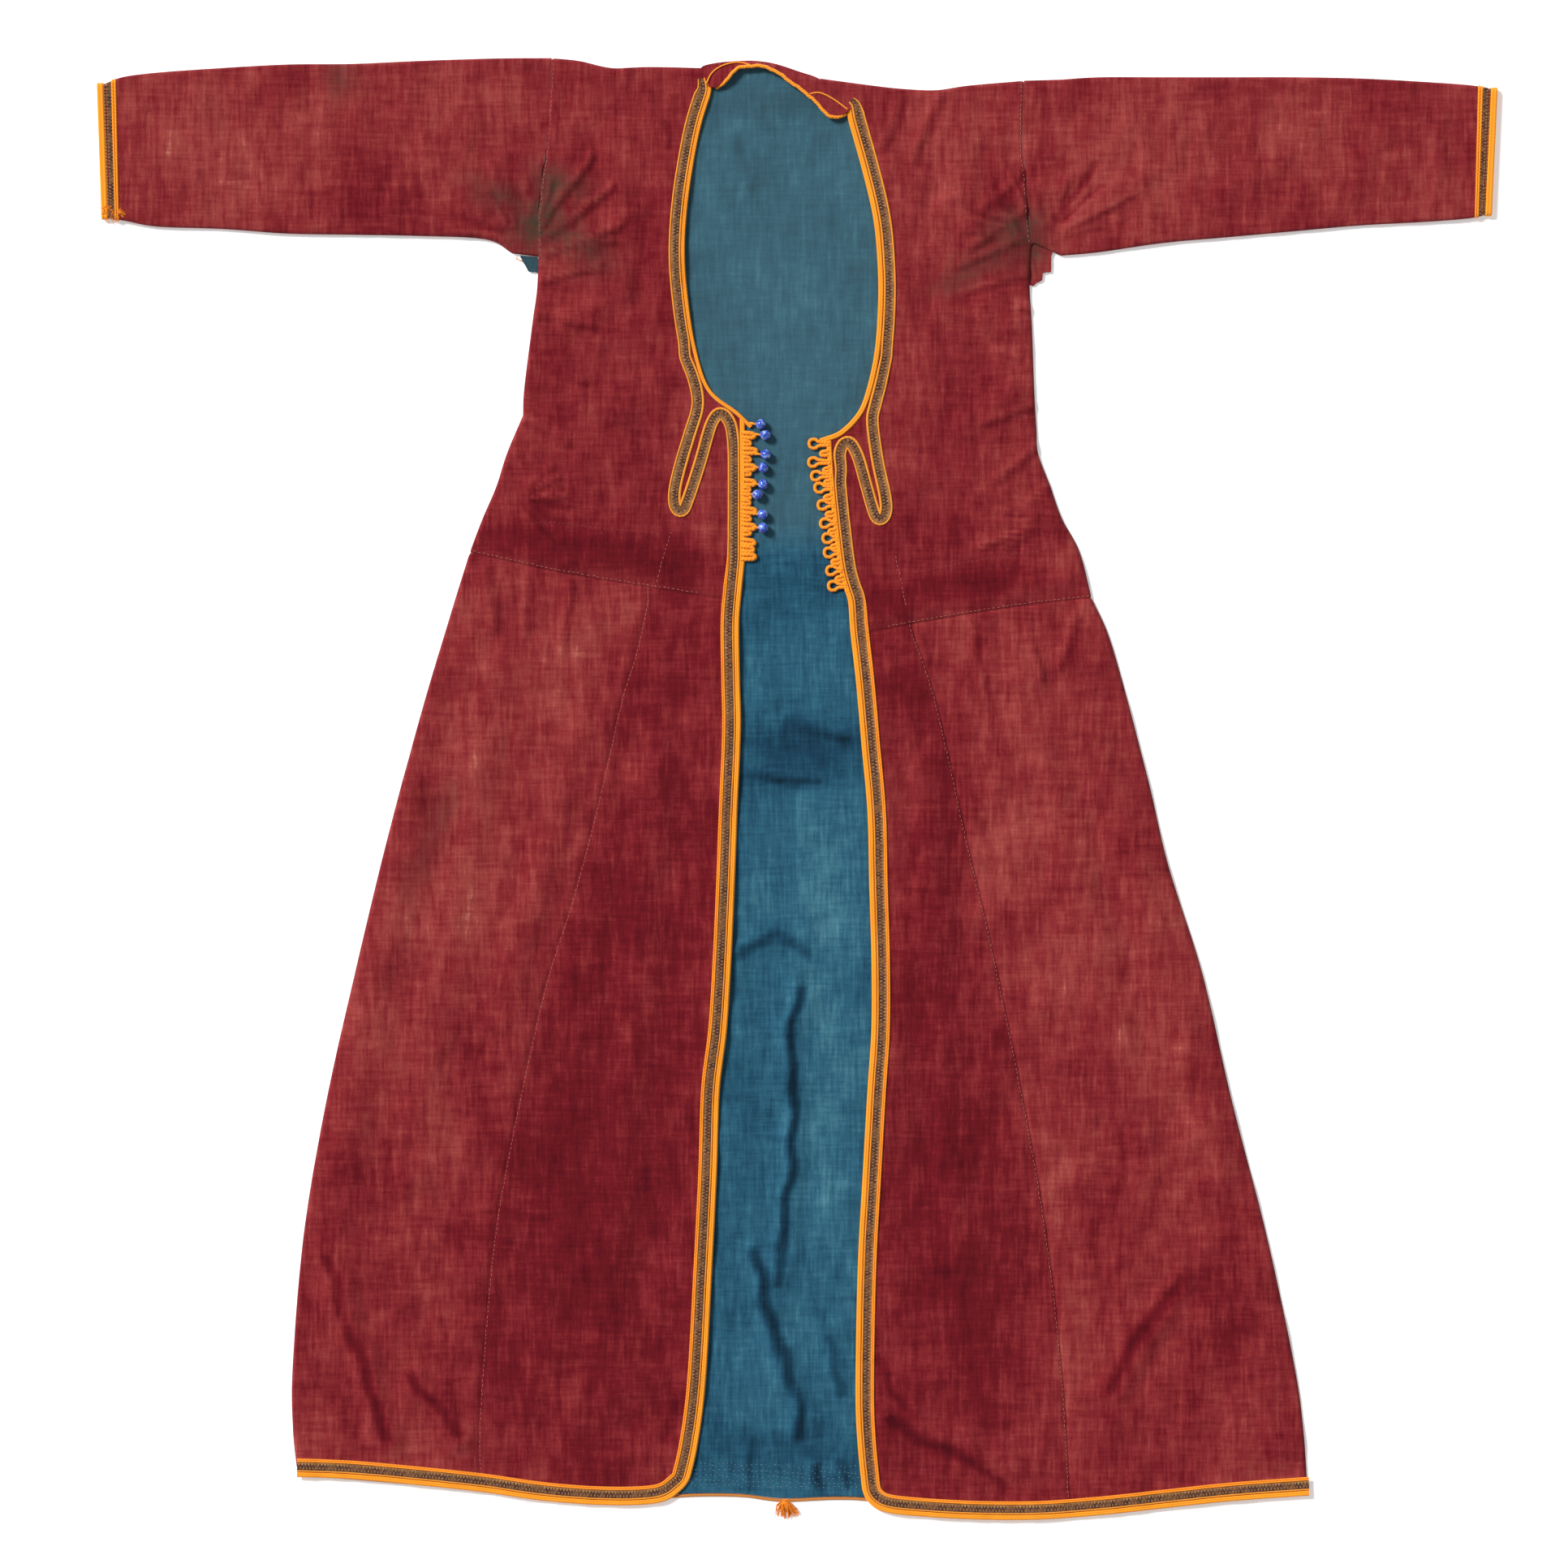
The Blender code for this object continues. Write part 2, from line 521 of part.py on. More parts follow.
def make_fronts(side):
    """The three front pieces of one side. It returns the rows' ends along the free edge."""
    left = side == "left"
    sign = -1.0 if left else 1.0
    neck_table = NECK_EDGE_LEFT if left else NECK_EDGE_RIGHT
    frill_table = FRILL_EDGE_LEFT if left else FRILL_EDGE_RIGHT
    front_table = FRONT_EDGE_LEFT if left else FRONT_EDGE_RIGHT
    neck_braid = NECK_BRAID_LEFT if left else NECK_BRAID_RIGHT
    armhole = ARMHOLE_LEFT if left else ARMHOLE_RIGHT
    underarm = UNDERARM_LEFT if left else UNDERARM_RIGHT
    side_line = SIDE_LEFT if left else SIDE_RIGHT
    shoulder = SHOULDER_LEFT if left else SHOULDER_RIGHT
    waist_table = WAIST_LEFT if left else WAIST_RIGHT
    gore_table = GORE_LEFT if left else GORE_RIGHT
    skirt_side = SKIRT_SIDE_LEFT if left else SKIRT_SIDE_RIGHT
    hem_table = HEM_LEFT if left else HEM_RIGHT
    waist_at = WAIST_LEFT_AT if left else WAIST_RIGHT_AT

    neck = beside(smooth(neck_table), sign * (neck_braid + GAP))
    neck = [Vector(p) for p in (NECK_TOP_LEFT if left else NECK_TOP_RIGHT)] + neck
    neck_upper, neck_lower = split_at(neck, armhole[-1][1] - 8.0)
    down_edge = smooth(frill_table)[:-1] + smooth(front_table)
    down_edge = beside(down_edge, sign * (FRONT_BRAID + GAP))
    corner_y = min(neck[-1].y, down_edge[0].y)
    down_edge = [p for p in down_edge if p.y < corner_y - 1.0]
    neck_lower = [p for p in neck_lower if p.x * sign > down_edge[0].x * sign + 0.5]
    corner = Vector((down_edge[0].x, neck_lower[-1].y - 2.0))
    neck_lower.append(corner)
    front_upper, front_lower = split_at([corner] + down_edge, waist_at)

    bodice = front_panel(
        f"bodice_{side}",
        (
            (neck_upper, smooth(armhole), BODICE_ROWS[0], False),
            (neck_lower, smooth(underarm), BODICE_ROWS[1], True),
            (front_upper, smooth(side_line), BODICE_ROWS[2], True),
        ),
        smooth(shoulder),
        smooth(waist_table),
        SIDE_COLUMNS,
        True,
    )
    gore = smooth(gore_table)
    hem = smooth(hem_table)
    waist = smooth(waist_table)
    hem = [p + Vector((0.0, FRONT_BRAID + GAP)) for p in hem]
    gore_hem = min(hem, key=lambda p: abs(p.x - gore[-1].x))
    waist_split = min(waist, key=lambda p: abs(p.x - gore[0].x))
    gore = [waist_split] + gore[2:-1] + [gore_hem]
    hem_inner = [p for p in hem if abs(p.x) < abs(gore_hem.x)] + [gore_hem]
    hem_outer = [gore_hem] + [p for p in hem if abs(p.x) > abs(gore_hem.x)]
    waist_inner = [p for p in waist if abs(p.x) < abs(waist_split.x)] + [waist_split]
    waist_outer = [waist_split] + [p for p in waist if abs(p.x) > abs(waist_split.x)]
    hem_corner = Vector((front_lower[-1].x, hem_inner[0].y + 1.0))
    front_lower = [p for p in front_lower if p.y > hem_corner.y + 2.0] + [hem_corner]
    front_bands = ((front_lower, gore, SKIRT_ROWS, False),)
    front = front_panel(f"skirt_front_{side}", front_bands, waist_inner, hem_inner, FRONT_COLUMNS, False)
    gore_inner = [p + Vector((sign * SEAM_GAP / 2, 0.0)) for p in gore]
    outer_line = smooth(skirt_side)
    outer_line = [p for p in outer_line if p.y > hem_outer[-1].y + 2.0] + [hem_outer[-1]]
    side_bands = ((gore_inner, outer_line, SKIRT_ROWS, True),)
    side_piece = front_panel(f"skirt_gore_{side}", side_bands, waist_outer, hem_outer, SIDE_COLUMNS, False)
    neck_rows = len(ROLL_STEPS) + BODICE_ROWS[0] + BODICE_ROWS[1]
    edge = {
        "neck": [Vector(row[0][:2]) for row in bodice[len(ROLL_STEPS) : neck_rows + 1]],
        "front": [Vector(row[0][:2]) for row in bodice[neck_rows:]],
        "skirt": [Vector(row[0][:2]) for row in front],
        "hem": [Vector(p[:2]) for p in front[-1]] + [Vector(p[:2]) for p in side_piece[-1]],
    }
    return edge


def make_back():
    """The back, flat on the surface, and the lining that lies on it."""
    top = smooth(SHOULDER_LEFT[::-1])[:-1] + smooth(BACK_NECK) + smooth(SHOULDER_RIGHT)[1:]
    left, right = [], []
    for lines, tables in ((left, LEFT_OUTLINE), (right, RIGHT_OUTLINE)):
        for table, count in zip(tables, OUTLINE_STEPS):
            lines += resample(smooth(table), count)[1 if lines else 0 :]
    shoulders = resample(top, SHOULDER_STEPS)
    hem = resample(smooth(BACK_BOTTOM), HEM_STEPS)
    lowered = Vector((0.0, -BACK_INSET - 2 * GAP))
    outline = [p + lowered for p in shoulders[1:-1]]
    outline += [p + Vector((-SIDE_INSETS[i < 5], 0.0)) for i, p in enumerate(right[:-1])]
    outline += hem[::-1]
    outline += [p + Vector((SIDE_INSETS[i < 5], 0.0)) for i, p in enumerate(left[:-1])][::-1]
    outline[len(shoulders) - 2] += lowered
    outline[-1] += lowered
    make_flat_piece("back", outline, 0.0, BACK_THICKNESS, "red cotton")
    HEMS["back"] = hem

    ends = len(left) - 1
    bow_top = bow_of(top)
    bow_bottom = bow_of(smooth(BACK_BOTTOM))
    shift = Vector((0.0, LINING_INSET))
    grid = []
    for row in range(ends + 1):
        a, b = left[row], right[row]
        if row == 0:
            a, b = top[0] - shift, top[-1] - shift
        if row == ends:
            a, b = hem[0] + shift, hem[-1] + shift
        down = row / ends
        line = []
        places = [a.x + LINING_INSET, *LINING_COLUMNS, b.x - LINING_INSET]
        for place in places:
            across = (place - a.x) / (b.x - a.x)
            point = a.lerp(b, across) + bow_at(bow_top, across) * max(0.0, 1 - 4 * down)
            point = point + bow_at(bow_bottom, across) * down**6
            line.append((place, point.y, lining_bottom(place, point.y)))
        grid.append(line)
    obj = new_object("back_lining", mesh_from_grid("back_lining", grid), MATERIALS["blue lining"])
    thicken(obj, LINING_THICKNESS, 1.0)


def ring(section, seam=None, grow=0.0):
    """Points round a flattened sleeve at one section, for a seam line across if given."""
    x0, y0, x1, y1, low, high = section
    start, end = Vector((x0, y0)), Vector((x1, y1))
    low, high = low - grow, high + grow
    length = (end - start).length + 2 * grow
    radius = (high - low) / 2
    arcs = (math.radians(45), math.radians(90), math.radians(135))
    places = [(radius + (length - 2 * radius) * i / 3, low) for i in range(4)]
    places += [(length - radius + radius * math.sin(a), low + radius - radius * math.cos(a)) for a in arcs]
    places += [(length - radius - (length - 2 * radius) * i / 6, high) for i in range(7)]
    places += [(radius - radius * math.sin(a), low + radius + radius * math.cos(a)) for a in arcs]
    points = []
    for place, height in places:
        across = (place - grow) / (length - 2 * grow)
        point = start.lerp(end, across)
        if seam:
            spot = min(max(across, 0.0), 1.0) * (len(seam) - 1)
            at = min(int(spot), len(seam) - 2)
            point.x = seam[at].lerp(seam[at + 1], spot - at).x
        if height > (low + high) / 2 + radius * 0.6:
            height += fold_height(point.x, point.y, SLEEVE_FOLDS)
        points.append((point.x, point.y, height))
    return points


def tube(name, rings, wall, offset, colour):
    mesh = mesh_from_grid(name, rings, closed_rows=True)
    obj = new_object(name, mesh, MATERIALS[colour])
    thicken(obj, wall, offset)
    return obj


def make_sleeve(side):
    left = side == "left"
    table = SLEEVE_LEFT if left else SLEEVE_RIGHT
    armhole = ARMHOLE_LEFT if left else ARMHOLE_RIGHT
    outwards = -1.0 if left else 1.0
    sections = [Vector(row) for row in table]
    rings = []
    for a, b in zip(sections, sections[1:]):
        rings.append(ring(a))
        if abs(a[0] - b[0]) > 40:
            rings.append(ring(a.lerp(b, 0.5)))
    rings.append(ring(sections[-1]))
    seam = resample(smooth(armhole), SEAM_STEPS)
    seam = [p + Vector((outwards * SEAM_GAP, 0.0)) for p in seam]
    y0, y1 = armhole[0][1], armhole[-1][1]
    rings.append(ring((0.0, y0, 0.0, y1, 0.0, FRONT_BOTTOM + FRONT_THICKNESS), seam))
    tube(f"sleeve_{side}", rings, SLEEVE_WALL, -1.0, "red cotton")

    end = sections[0]
    clear = Vector((outwards * GAP, 0, outwards * GAP, 0, 0, 0))
    width = Vector((outwards * CUFF_BRAID, 0, outwards * CUFF_BRAID, 0, 0, 0))
    bulge = Vector((0, 0.4, 0, -0.4, -0.4, 0.5))
    braid = [end + clear, end + clear + width * 0.5 + bulge, end + clear + width]
    tube(f"cuff_edge_{side}", [ring(s) for s in braid], SLEEVE_WALL + 0.4, -1.0, "orange braid")
    span = abs(sections[1][0] - end[0])
    near, far = end.lerp(sections[1], 1.0 / span), end.lerp(sections[1], (1.0 + CUFF_TAPE) / span)
    strip = [ring(near, None, GAP), ring(far, None, GAP)]
    tube(f"cuff_tape_{side}", strip, CUFF_TAPE_THICKNESS, 1.0, "dark tape")


def sweep(name, path, profile, base, colour):
    """A trim along a path. profile gives (across, height) points, anticlockwise from inside."""
    sides = side_vectors(path)
    work = bmesh.new()
    rings = []
    for i, (point, side) in enumerate(zip(path, sides)):
        corners = profile(i) if callable(profile) else profile
        line = []
        for across, height in corners:
            place = point + side * across
            line.append(work.verts.new(Vector((place.x, place.y, base(place.x, place.y) + height)) * MM))
        rings.append(line)
    for first, second in zip(rings, rings[1:]):
        for i in range(len(first)):
            j = (i + 1) % len(first)
            work.faces.new((first[i], second[i], second[j], first[j]))
    work.faces.new(rings[0])
    work.faces.new(reversed(rings[-1]))
    bmesh.ops.recalc_face_normals(work, faces=work.faces)
    mesh = bpy.data.meshes.new(name)
    work.to_mesh(mesh)
    work.free()
    mesh.shade_smooth()
    mesh.set_sharp_from_angle(angle=math.radians(50))
    return new_object(name, mesh, MATERIALS[colour])


def braid_profile(near, far):
    """A low rounded strip between two distances across the path."""
    rise = 0.55 * BRAID_HEIGHT
    edge = (far - near) * 0.22
    return (
        (near, 0.0), (far, 0.0), (far, rise), (far - edge, BRAID_HEIGHT),
        (near + edge, BRAID_HEIGHT), (near, rise),
    )


def tape_profile():
    half = TAPE_WIDTH / 2
    inner = half - TAPE_CORD_WIDTH
    return (
        (-half, 0.0), (half, 0.0), (half, TAPE_CORD_HEIGHT), (inner, TAPE_HEIGHT),
        (-inner, TAPE_HEIGHT), (-half, TAPE_CORD_HEIGHT),
    )


def surface_finder(names):
    """A function that gives the top of the named pieces at a place."""
    graph = bpy.context.evaluated_depsgraph_get()
    trees = []
    for name in names:
        trees.append(BVHTree.FromObject(bpy.data.objects[name], graph))

    def top(x, y):
        heights = []
        for dx, dy in ((0, 0), (1.2, 0), (-1.2, 0), (0, 1.2), (0, -1.2)):
            origin = Vector(((x + dx) * MM, (y + dy) * MM, 50 * MM))
            for tree in trees:
                hit = tree.ray_cast(origin, Vector((0, 0, -1)))[0]
                if hit is not None:
                    heights.append(hit.z / MM)
        return max(heights) if heights else FRONT_BOTTOM + FRONT_THICKNESS

    return top


def corner_path(first, second, keep):
    """Two lines joined at a sharp corner, without the points nearer to it than keep."""
    corner = first[-1]
    start = [p for p in first[:-1] if (p - corner).length > keep]
    end = [p for p in second if (p - corner).length > keep]
    return start + [corner] + end


def dense(path, spacing):
    points = []
    for a, b in zip(path, path[1:]):
        count = max(1, round((b - a).length / spacing))
        points += [a.lerp(b, i / count) for i in range(count)]
    return points + [path[-1]]


def toothed_profile(path, teeth, base_width, near, tooth_root):
    """A strip whose free side stands out in rounded cord teeth."""

    def corners(i):
        y = path[i].y
        reach = 0.0
        for tooth_y, length, half_width in teeth:
            off = abs(y - tooth_y) / half_width
            if off < 1:
                reach = max(reach, length * math.sqrt(1 - off**2))
        far = base_width + max(reach, tooth_root)
        return (
            (near, 0.0), (far, 0.0), (far, 0.45 * BRAID_HEIGHT), (far - 0.8, 0.8 * BRAID_HEIGHT),
            (base_width * 0.7, BRAID_HEIGHT), (near, 0.6 * BRAID_HEIGHT),
        )

    return corners


def flipped(profile, left):
    """Left of a downward path is +X, which is the free side on the left front only."""
    if callable(profile):
        return lambda i: flipped(profile(i), left)
    return profile if left else tuple((-across, height) for across, height in profile)


def make_trims(side, edge, top):
    left = side == "left"
    sign = -1.0 if left else 1.0
    neck_width = NECK_BRAID_LEFT if left else NECK_BRAID_RIGHT
    neck_top = NECK_TRIM_TOP_LEFT if left else NECK_TRIM_TOP_RIGHT
    neck_line = split_at(edge["neck"], neck_top)[1]
    last = neck_line[-1]
    tip = last + (last - neck_line[-2]).normalized() * (NECK_TRIM_END_LEFT if left else NECK_TRIM_END_RIGHT)
    sweep(
        f"neck_braid_{side}",
        neck_line + [tip],
        flipped(braid_profile(GAP, GAP + neck_width), left),
        front_bottom,
        "orange braid",
    )
    lower_start = (FRILL_EDGE_LEFT if left else FRILL_EDGE_RIGHT)[-1][1]
    front_line = edge["front"] + edge["skirt"][1:]
    upper = [p for p in front_line if p.y > lower_start + 4]
    upper = [Vector((upper[0].x, upper[0].y - 4.0))] + upper[1:]
    part = front_line[len(upper) - 1 : len(upper) + 1]
    split = part[0].lerp(part[1], (part[0].y - lower_start) / (part[0].y - part[1].y))
    frill_path = dense(upper + [split], TRIM_STEP)
    if left:
        profile = toothed_profile(frill_path, FRILL_TEETH, FRONT_BRAID, GAP, 0.6)
        sweep("frill_left", frill_path, flipped(profile, left), front_bottom, "orange braid")
    else:
        profile = toothed_profile(frill_path, STRIP_TEETH, FRONT_BRAID, GAP, 2.2)
        sweep("loop_strip_right", frill_path, flipped(profile, left), front_bottom, "orange braid")
    lower = [Vector((split.x, split.y - FRILL_GAP))] + [p for p in front_line if p.y < lower_start - 2]
    hem = edge["hem"][1 : -len(ROLL_STEPS)]
    sweep(
        f"front_braid_{side}",
        corner_path(lower, hem, CORNER_CLEAR),
        flipped(braid_profile(GAP, GAP + FRONT_BRAID), left),
        front_bottom,
        "orange braid",
    )
    inward = sign * (TAPE_WIDTH / 2 + GAP)
    neck_tape = [p for p in beside(neck_line, inward) if p.y > TONGUE_START_Y]
    tongue = smooth(TONGUE_LEFT if left else TONGUE_RIGHT, 3)
    lower_line = beside(corner_path(front_line, hem, CORNER_CLEAR), inward)
    lower_tape = [p for p in lower_line if p.y < tongue[-1].y - TAPE_WIDTH]
    tape_path = neck_tape + tongue + lower_tape
    sweep(f"tape_{side}", tape_path, tape_profile(), lambda x, y: top(x, y) + GAP, "dark tape")


def make_collar():
    outer = resample(smooth(COLLAR_OUTER), 14)
    cord = resample(smooth(COLLAR_CORD), 14)
    low, high = COLLAR_EDGE_HEIGHTS
    grid = []
    for a, b in zip(outer, cord):
        reach = (b - a).length
        end = a.lerp(b, max(0.3, (reach - COLLAR_CORD_RADIUS - 1.3) / reach))
        middle = a.lerp(end, 0.5)
        grid.append([(a.x, a.y, low), (middle.x, middle.y, (low + high) / 2 + 0.4), (end.x, end.y, high)])
    obj = new_object("collar_band", mesh_from_grid("collar_band", grid), MATERIALS["red cotton"])
    thicken(obj, COLLAR_THICKNESS, 1.0)
    curve = bpy.data.curves.new("collar_cord", "CURVE")
    curve.dimensions = "3D"
    curve.bevel_depth = COLLAR_CORD_RADIUS * MM
    curve.bevel_resolution = 1
    curve.use_fill_caps = True
    spline = curve.splines.new("POLY")
    line = resample(smooth(COLLAR_CORD), 26)
    spline.points.add(len(line) - 1)
    for i, (point, place) in enumerate(zip(spline.points, line)):
        wave = COLLAR_CORD_WAVE * math.sin(i * 0.9)
        point.co = (place.x * MM, place.y * MM, (high + 0.9 + wave) * MM, 1.0)
    obj = bpy.data.objects.new("collar_cord", curve)
    obj.data.materials.append(MATERIALS["gold cord"])
    COLLECTION.objects.link(obj)


def make_flat_piece(name, outline, low, high, colour):
    """A small piece cut from flat cloth."""
    curve = bpy.data.curves.new(name, "CURVE")
    curve.dimensions = "2D"
    curve.fill_mode = "BOTH"
    curve.extrude = (high - low) / 2 * MM
    spline = curve.splines.new("POLY")
    spline.points.add(len(outline) - 1)
    for point, (x, y) in zip(spline.points, outline):
        point.co = (x * MM, y * MM, 0.0, 1.0)
    spline.use_cyclic_u = True
    obj = bpy.data.objects.new(name, curve)
    obj.location.z = (low + high) / 2 * MM
    obj.data.materials.append(MATERIALS[colour])
    COLLECTION.objects.link(obj)


def adopt_primitive(name, colour):
    """Names the primitive just added and moves it to the coat's collection."""
    obj = bpy.context.active_object
    obj.name = name
    obj.data.materials.append(MATERIALS[colour])
    for collection in list(obj.users_collection):
        collection.objects.unlink(obj)
    COLLECTION.objects.link(obj)
    obj.data.shade_smooth()
    return obj


def make_beads_and_loops():
    rest = LINING_BOTTOM + LINING_THICKNESS + GAP
    for i, (x, y) in enumerate(BEADS):
        height = rest + BEAD_DIAMETER / 2
        bpy.ops.mesh.primitive_uv_sphere_add(
            segments=10, ring_count=6, radius=BEAD_DIAMETER / 2 * MM, location=(x * MM, y * MM, height * MM)
        )
        adopt_primitive(f"bead_{i + 1}", "blue glass")
    for i, (x, y) in enumerate(LOOPS):
        height = rest + LOOP_CORD_RADIUS
        bpy.ops.mesh.primitive_torus_add(
            major_segments=10,
            minor_segments=5,
            major_radius=LOOP_RADIUS * MM,
            minor_radius=LOOP_CORD_RADIUS * MM,
            location=(x * MM, y * MM, height * MM),
        )
        adopt_primitive(f"loop_{i + 1}", "orange braid")


def make_hem_cord():
    near = -GAP
    far = -GAP - HEM_CORD
    slope = 0.9
    profile = (
        (near, 0.0), (near, HEM_CORD_HEIGHT * 0.7), (near - slope, HEM_CORD_HEIGHT),
        (far + slope, HEM_CORD_HEIGHT), (far, HEM_CORD_HEIGHT * 0.5), (far, 0.0),
    )
    sweep("hem_cord_back", HEMS["back"], profile, lambda x, y: GAP, "gold cord")


def make_tassel():
    """A tassel whose strands fan out from a small head."""
    x0, y0 = TASSEL_HEAD
    work = bmesh.new()
    for i in range(TASSEL_STRANDS):
        fan = (i / (TASSEL_STRANDS - 1) - 0.5) * 2
        layer = i % 3
        tip_y = TASSEL_TIP_Y + 1.2 * (i % 4) + 2.5 * abs(fan)
        tip = Vector((x0 + 12.5 * fan + 1.5, tip_y, 0.9 + 1.1 * layer))
        root = Vector((x0 + 2.6 * fan, y0 - 0.8, 2.2 + 0.8 * layer))
        along = (tip - root).normalized()
        across = along.cross(Vector((0, 0, 1))).normalized()
        upward = across.cross(along)
        rings = []
        for place, size in ((root, 0.55), (tip, 0.4)):
            corners = ((across, 1), (upward, 1), (across, -1), (upward, -1))
            rings.append([work.verts.new((place + axis * size * way) * MM) for axis, way in corners])
        for first, second in zip(rings, rings[1:]):
            for k in range(4):
                work.faces.new((first[k], first[(k + 1) % 4], second[(k + 1) % 4], second[k]))
        work.faces.new(reversed(rings[0]))
        work.faces.new(rings[-1])
    bmesh.ops.recalc_face_normals(work, faces=work.faces)
    mesh = bpy.data.meshes.new("strands")
    work.to_mesh(mesh)
    work.free()
    strands = bpy.data.objects.new("strands", mesh)
    strands.hide_render = True
    strands.display_type = "WIRE"
    CUTTERS.objects.link(strands)
    bpy.ops.mesh.primitive_uv_sphere_add(
        segments=12, ring_count=8, radius=1.0, location=(x0 * MM, y0 * MM, 3.0 * MM)
    )
    head = adopt_primitive("tassel", "gold cord")
    head.data.transform(SCALE_HEAD)
    union = head.modifiers.new("Strands", "BOOLEAN")
    union.operation = "UNION"
    union.object = strands
    union.use_self = True


clear_scene()
COLLECTION = bpy.data.collections.new("coat")
CUTTERS = bpy.data.collections.new("cutters")
bpy.context.scene.collection.children.link(COLLECTION)
bpy.context.scene.collection.children.link(CUTTERS)
MATERIALS = {name: make_material(name) for name in COLOURS}
HEMS = {}
SCALE_HEAD = Matrix.Diagonal((4.2 * MM, 3.0 * MM, 2.5 * MM, 1.0))

EDGES = {side: make_fronts(side) for side in ("left", "right")}
make_back()
for side in ("left", "right"):
    make_sleeve(side)
bpy.context.view_layer.update()
FRONT_PIECES = ("bodice", "skirt_front", "skirt_gore")
TOP = surface_finder([f"{piece}_{side}" for piece in FRONT_PIECES for side in EDGES])
for side in ("left", "right"):
    make_trims(side, EDGES[side], TOP)
make_collar()
make_hem_cord()
make_flat_piece("gusset_right", GUSSET_RIGHT, 0.0, GUSSET_THICKNESS, "red cotton")
make_flat_piece("gusset_left", SCRAP_LEFT, 0.0, SCRAP_THICKNESS, "blue lining")
make_beads_and_loops()
make_tassel()
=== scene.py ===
import math
import random

import bpy
import numpy as np
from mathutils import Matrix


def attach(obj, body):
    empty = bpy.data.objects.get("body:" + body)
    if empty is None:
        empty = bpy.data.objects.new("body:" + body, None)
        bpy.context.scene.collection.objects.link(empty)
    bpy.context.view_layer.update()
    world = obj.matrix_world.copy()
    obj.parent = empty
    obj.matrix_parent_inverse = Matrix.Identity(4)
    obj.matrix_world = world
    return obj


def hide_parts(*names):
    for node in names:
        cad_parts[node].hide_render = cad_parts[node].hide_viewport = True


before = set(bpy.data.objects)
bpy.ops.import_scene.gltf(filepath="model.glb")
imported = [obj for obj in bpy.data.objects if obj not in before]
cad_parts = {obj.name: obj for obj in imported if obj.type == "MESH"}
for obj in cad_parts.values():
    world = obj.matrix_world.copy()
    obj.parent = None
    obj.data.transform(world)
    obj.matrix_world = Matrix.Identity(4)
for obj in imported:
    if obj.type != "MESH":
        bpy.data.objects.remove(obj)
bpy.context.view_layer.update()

# A long open coat, laid flat with its front up. All tables are in millimetres, x to the right and
# y towards the neck as seen from above. Left and right are as seen from above.

mm = 0.001
sides = ("left", "right")
sign = {"left": -1.0, "right": 1.0}

# undersides and walls of the layers, gaps between pieces, widths of the trims
heights = {"back": 1.2, "liningBottom": 1.5, "lining": 1.0, "frontBottom": 2.8, "front": 1.6}
clear = {"touch": 0.3, "seam": 0.12, "roll": 2.4}
widths = {"neckBraid": {"left": 3.6, "right": 4.8}, "frontBraid": 4.8, "tape": 9.0}

# outlines and seams

neckEdge = {
    "left": (
        (-72.5, 603), (-82.2, 572.2), (-89.2, 536.5), (-94.1, 500.8), (-96.2, 465.1), (-94.1, 429.4),
        (-87.5, 384.6), (-75.2, 346.1), (-53.5, 327.9), (-45, 323.2),
    ),
    "right": (
        (43.5, 580), (57, 531.6), (66.1, 491.7), (69.6, 456), (70.3, 420.3), (66.8, 374.1), (57, 334),
        (46.5, 317.4), (34, 306.5),
    ),
}
neckTop = {  # where the neck edge goes on up to the shoulder
    "left": ((-80.5, 622), (-78.5, 612)),
    "right": ((20, 613), (35.5, 601), (48, 589)),
}
frillEdge = {
    "left": ((-44.4, 319), (-44.2, 260.8), (-44.4, 197.8)),
    "right": ((25.3, 301), (28.2, 260.8), (31.8, 225.7), (36.2, 190.8), (41, 172)),
}
frontEdge = {
    "left": (
        (-44.4, 197.8), (-47.2, 169.8), (-49.3, 141.8), (-48.6, 92.8), (-47.9, 50.8), (-50.8, -19.2),
        (-53.1, -81.5), (-55.9, -144.5), (-59.8, -206.8), (-66.1, -260.1), (-68.5, -331.4), (-72.4, -409.8),
        (-78, -509.2), (-85, -565.2), (-94.1, -604.4),
    ),
    "right": (
        (41, 172), (44.4, 161.3), (46.3, 136.1), (51.4, 89.9), (56.1, 36.3), (61, -19.2), (62.6, -81.5),
        (64.4, -143.8), (64.4, -206.8), (61, -260.1), (57, -331.4), (52.8, -409.8), (50.8, -509.2),
        (52.1, -558.2), (57.4, -614.2),
    ),
}
shoulder = {
    "left": ((-80, 622), (-127, 623), (-159, 622), (-187, 628), (-211, 630.5)),
    "right": (
        (20, 613), (65, 607), (93, 604), (121, 603), (149, 607), (196, 611),
    ),
}
armhole = {
    "left": ((-211, 630.5), (-216, 555), (-220, 528), (-223.5, 490), (-222.5, 459)),
    "right": ((196, 611), (195, 555), (198, 528), (200, 495), (203, 471)),
}
underarm = {
    "left": ((-222.5, 459), (-224, 430), (-228, 401), (-235, 345), (-236, 322)),
    "right": ((203, 471), (201, 436), (203, 401), (205, 345), (207, 310)),
}
sideLine = {
    "left": ((-236, 322), (-250, 289), (-259, 261), (-271, 233), (-282, 204)),
    "right": (
        (207, 310), (208.5, 289), (219, 261), (229, 233), (244, 205), (254.5, 165),
    ),
}
skirtSide = {
    "left": (
        (-282, 204), (-299, 149), (-324, 65), (-354, -47), (-381, -159), (-406, -271), (-425, -383),
        (-434.5, -495), (-434.5, -551), (-430, -593),
    ),
    "right": (
        (254.5, 165), (273, 121), (303, 9), (321, -67), (350, -159), (376, -271), (405, -383), (429, -495),
        (437, -551), (441, -609),
    ),
}
